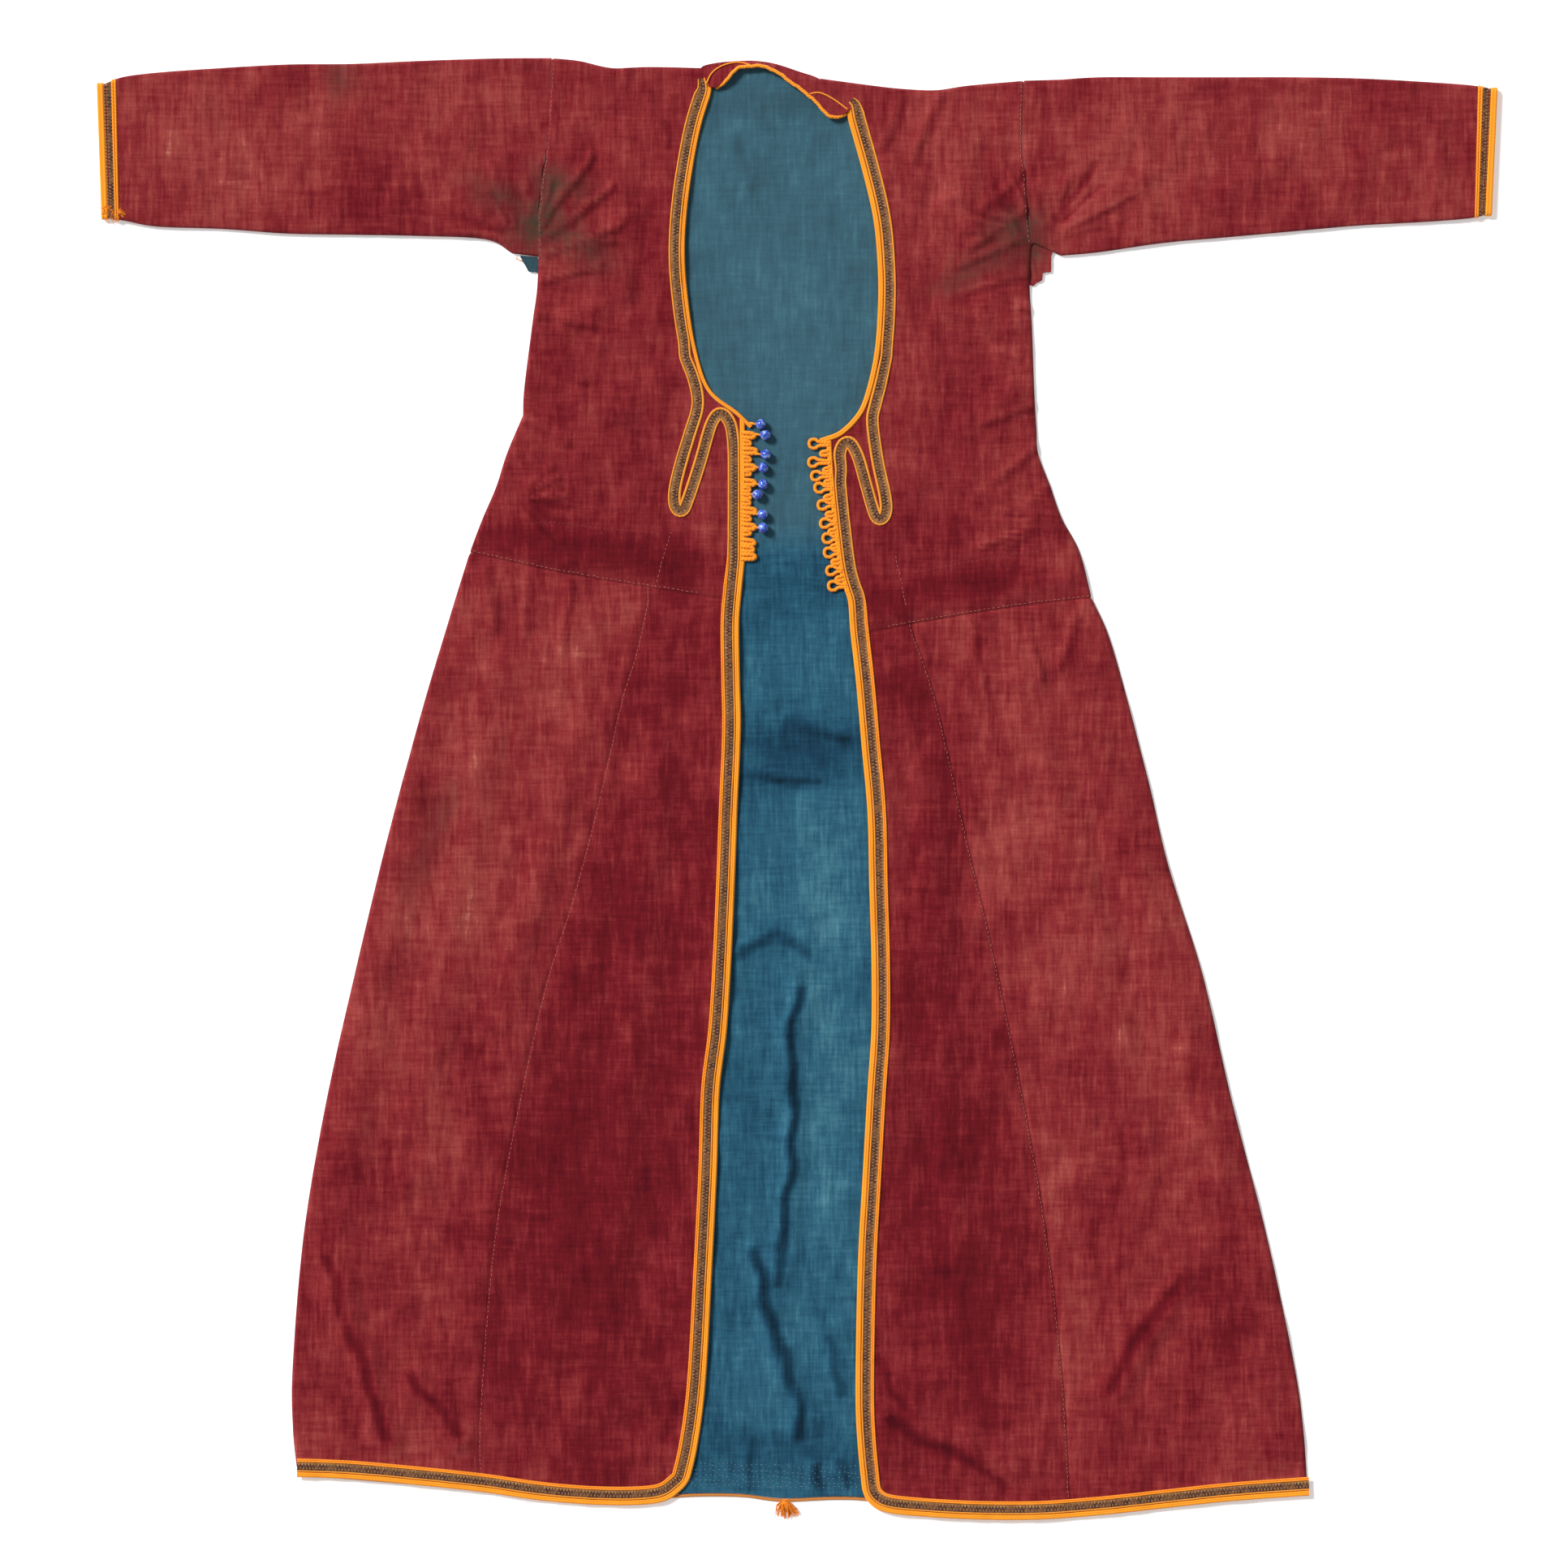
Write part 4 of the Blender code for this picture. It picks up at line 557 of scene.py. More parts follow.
def addTube(parts, path, radius, sideCount=8):  # a round cord along points
    path = np.asarray(path, float)
    run = runLength(path) * mm
    d = np.gradient(path, axis=0)
    d /= np.maximum(np.linalg.norm(d, axis=1), 1e-9)[:, None]
    up = np.tile([0.0, 0.0, 1.0], (len(path), 1))
    up[np.abs(d[:, 2]) > 0.95] = (0.0, 1.0, 0.0)
    left = np.cross(up, d)
    left /= np.linalg.norm(left, axis=1)[:, None]
    up = np.cross(d, left)
    radii = np.broadcast_to(np.asarray(radius, float), (len(path),))
    verts, faces, uvs = parts["verts"], parts["faces"], parts["uvs"]
    start = len(verts)
    angles = [2 * math.pi * k / sideCount for k in range(sideCount)]
    for i in range(len(path)):
        verts += [path[i] + radii[i] * (left[i] * math.cos(a) + up[i] * math.sin(a)) for a in angles]
    for i in range(len(path) - 1):
        for k in range(sideCount):
            j = (k + 1) % sideCount
            a, b = start + i * sideCount, start + (i + 1) * sideCount
            faces.append((a + k, a + j, b + j, b + k))
            v0, v1 = k / sideCount, (k + 1) / sideCount
            uvs += [(run[i], v0), (run[i], v1), (run[i + 1], v1), (run[i + 1], v0)]
    last = start + (len(path) - 1) * sideCount
    faces.append(tuple(start + k for k in reversed(range(sideCount))))
    faces.append(tuple(last + k for k in range(sideCount)))
    uvs += [(0, 0)] * sideCount + [(run[-1], 0)] * sideCount


def newParts():
    return {"verts": [], "faces": [], "uvs": []}


def meshFrom(name, parts, materials, sharp=50):
    return newMesh(name, parts["verts"], parts["faces"], materials, parts["uvs"], None, sharp)


# materials

def colour(r, g, b):  # a screen colour of 0 to 255 as a shader colour
    def channel(value):
        value /= 255
        return value / 12.92 if value < 0.04045 else ((value + 0.055) / 1.055) ** 2.4
    return (channel(r), channel(g), channel(b), 1.0)


def addNode(tree, kind, **values):
    node = tree.nodes.new(kind)
    for key, value in values.items():
        setattr(node, key, value)
    return node


def feed(tree, socket, value):
    if isinstance(value, bpy.types.NodeSocket):
        tree.links.new(value, socket)
    else:
        socket.default_value = value


def setInputs(node, **values):  # an underscore stands for a space in a socket's name
    for label, value in values.items():
        node.inputs[label.replace("_", " ")].default_value = value


def splitAxes(tree, vector):
    node = addNode(tree, "ShaderNodeSeparateXYZ")
    tree.links.new(vector, node.inputs[0])
    return node.outputs


def objectPlace(tree):
    return addNode(tree, "ShaderNodeTexCoord").outputs["Object"]


def uvAxes(tree):
    return splitAxes(tree, addNode(tree, "ShaderNodeUVMap", uv_map="along").outputs[0])


def calc(tree, operation, a, b=None, c=None, clamp=False):
    node = addNode(tree, "ShaderNodeMath", operation=operation, use_clamp=clamp)
    for socket, value in zip(node.inputs, (a, b, c)):
        if value is not None:
            feed(tree, socket, value)
    return node.outputs[0]


def centred(tree, value):  # 0 to 1 becomes -0.5 to 0.5
    return calc(tree, "SUBTRACT", value, 0.5)


def mixColour(tree, factor, a, b, blend="MIX"):
    node = addNode(tree, "ShaderNodeMix", data_type="RGBA", blend_type=blend)
    feed(tree, node.inputs["Factor"], factor)
    feed(tree, node.inputs[6], a)
    feed(tree, node.inputs[7], b)
    return node.outputs[2]


def noise(tree, vector, scale, detail=3.0, rough=0.55):
    node = addNode(tree, "ShaderNodeTexNoise")
    feed(tree, node.inputs["Vector"], vector)
    setInputs(node, Scale=scale, Detail=detail, Roughness=rough)
    return node.outputs["Fac"]


def stretched(tree, vector, scale):
    node = addNode(tree, "ShaderNodeMapping")
    feed(tree, node.inputs["Vector"], vector)
    node.inputs["Scale"].default_value = scale
    return node.outputs[0]


def ramp(tree, factor, stops):
    node = addNode(tree, "ShaderNodeValToRGB")
    feed(tree, node.inputs[0], factor)
    while len(node.color_ramp.elements) < len(stops):
        node.color_ramp.elements.new(0.5)
    for element, (place, value) in zip(node.color_ramp.elements, stops):
        element.position = place
        element.color = value
    return node.outputs[0]


def newGroup(name, inputs, outputs):
    group = bpy.data.node_groups.new(name, "ShaderNodeTree")
    for label, kind, value in inputs:
        socket = group.interface.new_socket(name=label, in_out="INPUT", socket_type=kind)
        if value is not None:
            socket.default_value = value
    for label, kind in outputs:
        group.interface.new_socket(name=label, in_out="OUTPUT", socket_type=kind)
    return group, addNode(group, "NodeGroupInput"), addNode(group, "NodeGroupOutput")


def makeWeaveGroup():  # plain weave: height and shade of the threads, cloudy patches, wrinkles
    labels = ("Height", "Shade", "Mottle", "Blotch", "Wrinkle")
    group, given, result = newGroup(
        "plain weave",
        (("Vector", "NodeSocketVector", None), ("Threads per metre", "NodeSocketFloat", 1400.0)),
        [(label, "NodeSocketFloat") for label in labels],
    )
    place = given.outputs["Vector"]
    axes = splitAxes(group, place)
    shift = calc(group, "MULTIPLY", centred(group, noise(group, place, 160.0, 2.0)), 0.0009)
    waves = []
    for axis in (0, 1):
        along = calc(group, "ADD", axes[axis], shift)
        phase = calc(group, "MULTIPLY", calc(group, "MULTIPLY", along, given.outputs[1]), math.pi)
        waves.append(calc(group, "SINE", phase))
    crossing = calc(group, "ABSOLUTE", calc(group, "MULTIPLY", waves[0], waves[1]))

    def cloudy(scale, detail, rough):
        return noise(group, stretched(group, place, scale), 1.0, detail, rough)

    def woven(across, along, detail, rough):  # noise drawn out along the warp and along the weft
        warp = cloudy((across, along, 40), detail, rough)
        weft = cloudy((along, across, 40), detail, rough)
        return calc(group, "ADD", calc(group, "MULTIPLY", warp, 0.62), calc(group, "MULTIPLY", weft, 0.38))

    crumple, soft = cloudy((58, 34, 30), 3.0, 0.5), cloudy((22, 16, 20), 2.0, 0.5)
    values = (
        calc(group, "POWER", crossing, 0.5), woven(400.0, 30.0, 3.0, 0.6), cloudy((17, 11, 20), 3.0, 0.55),
        woven(110.0, 30.0, 5.0, 0.75), calc(group, "MULTIPLY_ADD", crumple, 0.22, soft),
    )
    for label, value in zip(labels, values):
        group.links.new(value, result.inputs[label])
    return group


def makeTwistGroup():  # plies of a twisted or braided cord, from its own UV map
    sockets = (("Along", 0.0), ("Across", 0.0), ("Pitch", 0.004), ("Slant", 1.0))
    group, given, result = newGroup(
        "cord plies",
        [(label, "NodeSocketFloat", value) for label, value in sockets],
        [(label, "NodeSocketFloat") for label in ("Height", "Fibre")],
    )
    along, across, pitch, slant = given.outputs[:4]
    turns = calc(group, "ADD", calc(group, "DIVIDE", along, pitch), calc(group, "MULTIPLY", across, slant))
    wave = calc(group, "ABSOLUTE", calc(group, "SINE", calc(group, "MULTIPLY", turns, math.pi)))
    join = addNode(group, "ShaderNodeCombineXYZ")
    group.links.new(calc(group, "MULTIPLY", along, 900.0), join.inputs[0])
    group.links.new(calc(group, "MULTIPLY", across, 22.0), join.inputs[1])
    group.links.new(calc(group, "POWER", wave, 0.6), result.inputs["Height"])
    group.links.new(noise(group, join.outputs[0], 1.0, 3.0), result.inputs["Fibre"])
    return group


def useGroup(tree, group, **values):
    node = addNode(tree, "ShaderNodeGroup", node_tree=group)
    for label, value in values.items():
        feed(tree, node.inputs[label.replace("_", " ")], value)
    return node


def startMaterial(name):
    material = bpy.data.materials.new(name)
    material.use_nodes = True
    tree = material.node_tree
    return material, tree, tree.nodes["Principled BSDF"]


def bump(tree, shader, height, strength, distance, under=None):
    node = addNode(tree, "ShaderNodeBump")
    feed(tree, node.inputs["Height"], height)
    setInputs(node, Strength=strength, Distance=distance)
    if under:
        tree.links.new(under, node.inputs["Normal"])
    tree.links.new(node.outputs[0], shader.inputs["Normal"])
    return node.outputs[0]


def attribute(tree, name):
    return addNode(tree, "ShaderNodeAttribute", attribute_name=name).outputs["Fac"]


clothLook = {
    "red": {
        "stops": (
            (0.0, colour(82, 4, 18)), (0.3, colour(112, 18, 29)), (0.52, colour(137, 41, 45)),
            (0.78, colour(162, 70, 65)), (1.0, colour(202, 128, 106)),
        ),
        "middle": 0.465, "patch": 0.34, "mottle": 0.6, "threads": 0.8, "blotch": 1.25,
        "stain": colour(74, 58, 46), "wrinkle": 0.006,
    },
    "blue": {
        "stops": (
            (0.0, colour(8, 38, 56)), (0.33, colour(26, 70, 94)), (0.56, colour(44, 96, 120)),
            (0.8, colour(72, 126, 143)), (1.0, colour(124, 164, 168)),
        ),
        "middle": 0.5, "patch": 0.46, "mottle": 0.45, "threads": 0.75, "blotch": 0.95,
        "stain": colour(30, 40, 48), "wrinkle": 0.005,
    },
}


# soil darkens the stains in blotches; the gaps between the threads get painted shade; the lining goes greyer
# towards the neck
clothSoilAndGapShade = {"soil": (5.0, -1.7), "gapShade": (0.34, 0.72), "greyFrom": 0.2, "grey": colour(78, 106, 110)}


def makeCloth(name, look, weave, pitch):
    material, tree, shader = startMaterial(name)
    place = objectPlace(tree)
    threads = useGroup(tree, weave, Vector=place, Threads_per_metre=pitch).outputs
    # faded patches plus the painted light and shade of the folds, from the attribute
    tone = calc(tree, "MULTIPLY_ADD", attribute(tree, "fadeAndShade"), look["patch"], look["middle"])
    for output in ("Mottle", "Blotch"):
        tone = calc(tree, "MULTIPLY_ADD", centred(tree, threads[output]), look[output.lower()], tone)
    tone = calc(tree, "MULTIPLY_ADD", centred(tree, threads["Shade"]), look["threads"], tone, clamp=True)
    shown = ramp(tree, tone, look["stops"])
    if name == "blue lining":  # greyer towards the neck
        upper = calc(tree, "SUBTRACT", splitAxes(tree, place)[1], clothSoilAndGapShade["greyFrom"])
        grey = calc(tree, "MULTIPLY", upper, 30.0, clamp=True)
        shown = mixColour(tree, grey, shown, mixColour(tree, 0.4, shown, clothSoilAndGapShade["grey"]))
    soil = calc(tree, "MULTIPLY_ADD", threads["Blotch"], *clothSoilAndGapShade["soil"])
    soil = calc(tree, "MULTIPLY", attribute(tree, "stain"), soil, clamp=True)
    # painted shade: the colour is darker in the gaps between the threads and a little lighter on their tops
    gapShade = calc(tree, "MULTIPLY_ADD", threads["Height"], *clothSoilAndGapShade["gapShade"])
    shown = mixColour(tree, 1.0, mixColour(tree, soil, shown, look["stain"]), gapShade, "MULTIPLY")
    tree.links.new(shown, shader.inputs["Base Color"])
    setInputs(shader, Roughness=0.93, Specular_IOR_Level=0.12, Sheen_Weight=0.05)
    folded = bump(tree, shader, threads["Wrinkle"], 1.0, look["wrinkle"])
    height = calc(tree, "ADD", threads["Height"], calc(tree, "MULTIPLY", threads["Shade"], 1.6))
    bump(tree, shader, height, 0.5, 0.0003, folded)
    return material


def makeCord(name, twist, dark, bright, pitch, slant, braided, strength):
    material, tree, shader = startMaterial(name)
    axes = uvAxes(tree)
    across = calc(tree, "ABSOLUTE", centred(tree, axes[1])) if braided else axes[1]
    plies = useGroup(tree, twist, Along=axes[0], Across=across, Pitch=pitch, Slant=slant).outputs
    # painted shade: the grooves between the plies are coloured darker and the ply tops brighter
    tone = calc(tree, "MULTIPLY", plies["Height"], 0.62)
    tone = calc(tree, "MULTIPLY_ADD", plies["Fibre"], 0.5, tone)
    tree.links.new(ramp(tree, tone, ((0.12, dark), (0.62, bright))), shader.inputs["Base Color"])
    setInputs(shader, Roughness=0.72, Specular_IOR_Level=0.3, Sheen_Weight=0.15)
    height = calc(tree, "MULTIPLY_ADD", plies["Fibre"], 0.35, plies["Height"])
    bump(tree, shader, height, strength, 0.0005)
    return material


def makeBand(name):  # brown woven tape with a dark chain along it
    material, tree, shader = startMaterial(name)
    look, axes, place = tapeLook, uvAxes(tree), objectPlace(tree)
    grain, patch = noise(tree, place, 1500.0, 2.0), noise(tree, place, 150.0, 3.0)
    uneven = calc(tree, "MULTIPLY", centred(tree, patch), look["uneven"])
    along = calc(tree, "DIVIDE", calc(tree, "ADD", axes[0], uneven), look["period"])
    zig = calc(tree, "SUBTRACT", calc(tree, "PINGPONG", along, 0.5), 0.25)
    masks = []
    for slope in (look["swing"], -look["swing"]):
        line = calc(tree, "MULTIPLY_ADD", zig, 2 * slope, look["middle"])
        away = calc(tree, "ABSOLUTE", calc(tree, "SUBTRACT", axes[1], line))
        away = calc(tree, "DIVIDE", away, look["thread"])
        masks.append(calc(tree, "SUBTRACT", 1.0, away, clamp=True))
    shown = ramp(tree, grain, ((0.25, look["brown"]), (0.75, look["tan"])))
    light = calc(tree, "MULTIPLY_ADD", patch, 3.0, -1.1, clamp=True)
    shown = mixColour(tree, light, shown, look["ochre"])
    chain = calc(tree, "MAXIMUM", masks[0], calc(tree, "MULTIPLY", masks[1], 0.8))
    wearAndFoldShade = calc(tree, "MULTIPLY_ADD", patch, 5.0, -1.4)
    dark = calc(tree, "MULTIPLY", calc(tree, "POWER", chain, 0.6), wearAndFoldShade, clamp=True)
    tree.links.new(mixColour(tree, dark, shown, look["black"]), shader.inputs["Base Color"])
    setInputs(shader, Roughness=0.85)
    over, under = calc(tree, "MULTIPLY", masks[1], 0.7), calc(tree, "MULTIPLY", masks[0], 0.5)
    height = calc(tree, "MULTIPLY_ADD", grain, 0.4, calc(tree, "SUBTRACT", over, under))
    bump(tree, shader, height, 0.8, 0.0005)
    return material


def makePlain(name, shade, rough, scale=700.0):
    material, tree, shader = startMaterial(name)
    grain = noise(tree, objectPlace(tree), scale, 3.0)
    dark, light = (tuple(min(1, c * k) for c in shade[:3]) + (1.0,) for k in (0.75, 1.25))
    tree.links.new(ramp(tree, grain, ((0.3, dark), (0.7, light))), shader.inputs["Base Color"])
    setInputs(shader, Roughness=rough)
    bump(tree, shader, grain, 0.25, 0.0003)
    return material


def makeGlass(name):  # blue beads with paler wisps under the surface
    material, tree, shader = startMaterial(name)
    place = objectPlace(tree)
    stops = ((0.38, beadLook["deep"]), (0.52, beadLook["blue"]), (0.7, beadLook["pale"]))
    tree.links.new(ramp(tree, noise(tree, place, 330.0, 2.0, 0.4), stops), shader.inputs["Base Color"])
    setInputs(shader, Roughness=0.1, Coat_Weight=0.8, Coat_Roughness=0.04, Transmission_Weight=0.15)
    bump(tree, shader, noise(tree, place, 240.0, 1.0), 0.12, 0.001)
    return material


tapeLook = {
    "period": 0.0056, "middle": 0.5, "swing": 0.85, "thread": 0.3, "uneven": 0.003,
    "black": colour(62, 28, 20), "brown": colour(106, 66, 36), "tan": colour(140, 94, 52),
    "ochre": colour(170, 122, 66),
}
beadLook = {"deep": colour(38, 66, 178), "blue": colour(80, 118, 222), "pale": colour(168, 192, 244)}

weave = makeWeaveGroup()
twist = makeTwistGroup()
redCloth = makeCloth("red cotton", clothLook["red"], weave, 1500.0)
blueCloth = makeCloth("blue lining", clothLook["blue"], weave, 1700.0)
cordLook = {  # colour in the grooves between the plies (painted shade) and on their tops, pitch, slant, braided, strength of the relief
    "orange braid": (colour(216, 116, 8), colour(248, 152, 20), 0.003, 3.4, True, 0.35),
    "orange cord": (colour(212, 100, 6), colour(248, 148, 20), 0.003, 2.0, False, 0.55),
    "gold cord": (colour(178, 96, 18), colour(240, 152, 40), 0.0017, 2.0, False, 0.6),
    "hem cord": (colour(136, 72, 24), colour(206, 126, 44), 0.002, 2.0, False, 0.6),
}
orangeBraid, orangeCord, goldCord, hemCord = (makeCord(name, twist, *look) for name, look in cordLook.items())
tapeBand = makeBand("dark tape")
blueGlass = makeGlass("blue glass")
tasselSilk = makePlain("tassel yarn", colour(238, 136, 24), 0.7, 500.0)
paleThread = makePlain("pale thread", colour(186, 116, 102), 0.85)
hemThread = makePlain("hem thread", colour(120, 150, 164), 0.85)
redThread = makePlain("red thread", colour(150, 66, 62), 0.8)
print("materials made")


def finish(piece, nodes):
    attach(piece, "root")
    if nodes:
        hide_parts(*nodes)


# the three front pieces of each side

panelLook = {
    "step": 3.6, "margin": 1.3, "inner": 4.0, "bow": 80, "pull": 30, "thinBy": 0.5, "thinWidth": 1.4,
    "fadeAndShade": {"skirt_gore": 0.1, "skirt_front": -0.12, "bodice": 0.0},
}


def bowOf(line):  # how far a line strays from the straight one between its ends
    points = resample(line, panelLook["bow"])
    part = np.linspace(0, 1, len(points))[:, None]
    return points - (points[0] + (points[-1] - points[0]) * part)


def bowAt(bow, across):
    places = np.clip(across, 0, 1) * (len(bow) - 1)
    return np.stack([np.interp(places, np.arange(len(bow)), bow[:, k]) for k in (0, 1)], -1)


def panelRows(bands, rolledTop):
    inner, outer, rolled = [], [], []
    for number, (innerLine, outerLine, rolls) in enumerate(bands):
        length = max(runLength(innerLine)[-1], runLength(outerLine)[-1])
        places = np.linspace(0, 1, max(4, round(length / panelLook["step"])) + 1)
        apart = 1.2 / length
        if number == 0:
            extra = sorted(d / length for d in (rollAt[1:] if rolledTop else edgeAt))
            places = np.concatenate([[0], extra, places[1:][places[1:] > extra[-1] + apart]])
        if number == len(bands) - 1:
            extra = [1 - d / length for d in reversed(edgeAt)]
            places = np.concatenate([places[:-1][places[:-1] < extra[0] - apart], extra, [1]])
        skip = 1 if number else 0
        inner.append(pointsAt(innerLine, places * runLength(innerLine)[-1])[skip:])
        outer.append(pointsAt(outerLine, places * runLength(outerLine)[-1])[skip:])
        rolled += [rolls] * (len(places) - skip)
    return np.vstack(inner), np.vstack(outer), rolled


def makePanel(name, bands, top, bottom, rolledTop, seams):
    inner, outer, rolled = panelRows(bands, rolledTop)
    bowTop, bowBottom = bowOf(top), bowOf(bottom)
    look, down, wall = panelLook, runLength(inner), heights["front"]
    count = max(4, round(np.linalg.norm(outer - inner, axis=1).max() / look["step"]))
    grid, thick = [], []
    for row, (start, end) in enumerate(zip(inner, outer)):
        length = np.linalg.norm(end - start)
        outset = wall if rolled[row] else clear["seam"] / 2
        near = [length - outset - d for d in reversed(rollAt)]
        middle = np.linspace(look["inner"], near[0] - look["margin"], count)
        places = np.concatenate([[0], edgeAt, middle, near])
        across, partDown = places / length, down[row] / down[-1]
        points = start + (end - start) * across[:, None]
        points = points + bowAt(bowTop, across) * (1 - partDown) + bowAt(bowBottom, across) * partDown
        fromSide = length - outset - places
        lowered = rollDown(fromSide) if rolled[row] else np.zeros_like(places)
        if rolledTop:
            lowered = np.maximum(lowered, rollDown(down[row]))
            points[:, 1] -= wall * max(0.0, 1 - down[row] / look["pull"]) ** 2
        away = {"inner": places, "outer": fromSide, "top": down[row], "bottom": down[-1] - down[row]}
        thin = np.ones_like(places)  # the cloth is pressed thin at a seam
        for part in seams:
            if not (part == "outer" and rolled[row]):
                pressed = np.exp(-((away[part] / look["thinWidth"]) ** 2))
                thin = np.minimum(thin, 1 - look["thinBy"] * pressed)
        grid.append(np.column_stack([points, -lowered]))
        thick.append(wall * thin)
    grid = np.array(grid)
    if not rolledTop:
        grid[0, :, 1] -= clear["seam"] / 2
    grid[-1, :, 1] += clear["seam"] / 2
    grid[..., 2] += frontBottom(grid[..., 0], grid[..., 1])
    piece = shell(name, grid, np.array(thick), [redCloth])
    fadeAndShade = look["fadeAndShade"][name.rsplit("_", 1)[0]]
    # painted light and shade on the creases of the front
    addShades(piece, redPatches, stains, fadeAndShade, frontCreases + pulls, creaseTone["front"])
    finish(piece, [name])
    return grid


panelCut = {  # flat width and length in metres, area in square metres
    "bodice_left": (0.24, 0.46, 0.0735), "bodice_right": (0.235, 0.48, 0.0745),
    "skirt_front_left": (0.225, 0.79, 0.117), "skirt_front_right": (0.19, 0.77, 0.0935),
    "skirt_gore_left": (0.31, 0.81, 0.135), "skirt_gore_right": (0.345, 0.79, 0.144),
}


def nearest(line, x):
    return line[np.abs(line[:, 0] - x).argmin()]


def splitAcross(line, point):  # the parts of a line on the inner and on the outer side of a point
    away = np.abs(line[:, 0])
    return np.vstack([line[away < abs(point[0])], point]), np.vstack([point, line[away > abs(point[0])]])


def makeFronts(side):
    s = sign[side]
    neck = beside(smooth(neckEdge[side]), s * (widths["neckBraid"][side] + clear["touch"]))
    neck = np.vstack([np.array(neckTop[side]), neck])
    neckUpper, neckLower = splitAt(neck, armhole[side][-1][1] - 8)  # a little below the armhole
    downEdge = np.vstack([smooth(frillEdge[side])[:-1], smooth(frontEdge[side])])
    downEdge = beside(downEdge, s * (widths["frontBraid"] + clear["touch"]))
    downEdge = downEdge[downEdge[:, 1] < min(neck[-1, 1], downEdge[0, 1]) - 1]
    neckLower = neckLower[neckLower[:, 0] * s > downEdge[0, 0] * s + 0.5]
    corner = np.array([[downEdge[0, 0], neckLower[-1, 1] - 2]])
    neckLower = np.vstack([neckLower, corner])
    frontUpper, frontLower = splitAt(np.vstack([corner, downEdge]), waistAt[side])
    bands = (
        (neckUpper, smooth(armhole[side]), False),
        (neckLower, smooth(underarm[side]), True),
        (frontUpper, smooth(sideLine[side]), True),
    )
    goreLine, hemLine, waistLine = smooth(gore[side]), smooth(hem[side]), smooth(waist[side])
    bodice = makePanel(f"bodice_{side}", bands, smooth(shoulder[side]), waistLine, True, ("bottom", "outer"))
    hemLine = hemLine + (0, widths["frontBraid"] + clear["touch"])
    goreWaist, goreHem = nearest(waistLine, goreLine[0, 0]), nearest(hemLine, goreLine[-1, 0])
    goreLine = np.vstack([goreWaist, goreLine[2:-1], goreHem])
    hemInner, hemOuter = splitAcross(hemLine, goreHem)
    waistInner, waistOuter = splitAcross(waistLine, goreWaist)
    hemCorner = np.array([[frontLower[-1, 0], hemInner[0, 1] + 1]])
    frontLower = np.vstack([frontLower[frontLower[:, 1] > hemCorner[0, 1] + 2], hemCorner])
    front = makePanel(
        f"skirt_front_{side}", ((frontLower, goreLine, False),), waistInner, hemInner, False, ("top", "outer")
    )
    outerLine = smooth(skirtSide[side])
    outerLine = np.vstack([outerLine[outerLine[:, 1] > hemOuter[-1, 1] + 2], hemOuter[-1:]])
    inner = goreLine + (s * clear["seam"] / 2, 0)
    gorePiece = makePanel(
        f"skirt_gore_{side}", ((inner, outerLine, True),), waistOuter, hemOuter, False, ("top", "inner")
    )
    edge = bodice[:, 0, :2]
    cornerRow = np.abs(edge - corner).sum(1).argmin()
    return {
        "neck": edge[len(rollAt) : cornerRow + 1], "front": np.vstack([edge[cornerRow:], front[1:, 0, :2]]),
        "hem": np.vstack([front[-1, :, :2], gorePiece[-1, :, :2]]), "gore": goreLine, "waist": waistLine,
    }


edges = {side: makeFronts(side) for side in sides}
print("fronts made")

# the back and its lining

backLook = {"rowStep": 9.0, "columns": 96, "inset": 3.2, "armpit": 465, "seamDrop": 3.8}
liningLook = {"rowStep": 4.2, "fine": (-108.0, 84.0, 3.2), "wings": (24, 26), "inset": 6.0, "hemInset": 1.0}


def sheetEdges(rowStep):  # top, bottom, left and right edge of a sheet as large as the coat
    top = np.vstack([smooth(shoulder["left"][::-1])[:-1], smooth(backNeck), smooth(shoulder["right"])[1:]])
    outlines = []
    for side in sides:
        lines = [smooth(table[side]) for table in (armhole, underarm, sideLine, skirtSide)]
        outlines.append(np.vstack([lines[0]] + [line[1:] for line in lines[1:]]))
    rows = round(runLength(outlines[0])[-1] / rowStep)
    return top, smooth(backBottom), resample(outlines[0], rows), resample(outlines[1], rows), rows


def makeBack():
    look = backLook
    top, bottom, left, right, rows = sheetEdges(look["rowStep"])
    bowTop, bowBottom = bowOf(top), bowOf(bottom)
    across = np.linspace(0, 1, look["columns"] + 1)
    grid = []
    for row in range(rows + 1):
        a, b = left[row].copy(), right[row].copy()
        away = look["inset"] if a[1] < look["armpit"] else clear["seam"] * 3
        if row in (0, rows):
            line = bottom if row else top
            a, b = line[0].copy(), line[-1].copy()
        a[0], b[0] = a[0] + away, b[0] - away
        down = row / rows
        points = a + (b - a) * across[:, None]
        points = points + bowAt(bowTop, across) * max(0, 1 - 4 * down) + bowAt(bowBottom, across) * down**6
        points[:, 1] -= look["seamDrop"] * max(0, 1 - row / 4)
        grid.append(np.column_stack([points, np.zeros(len(across))]))
    piece = shell("back", np.array(grid), heights["back"], [redCloth])
    addShades(piece, redPatches)
    finish(piece, ["back"])
    return bottom


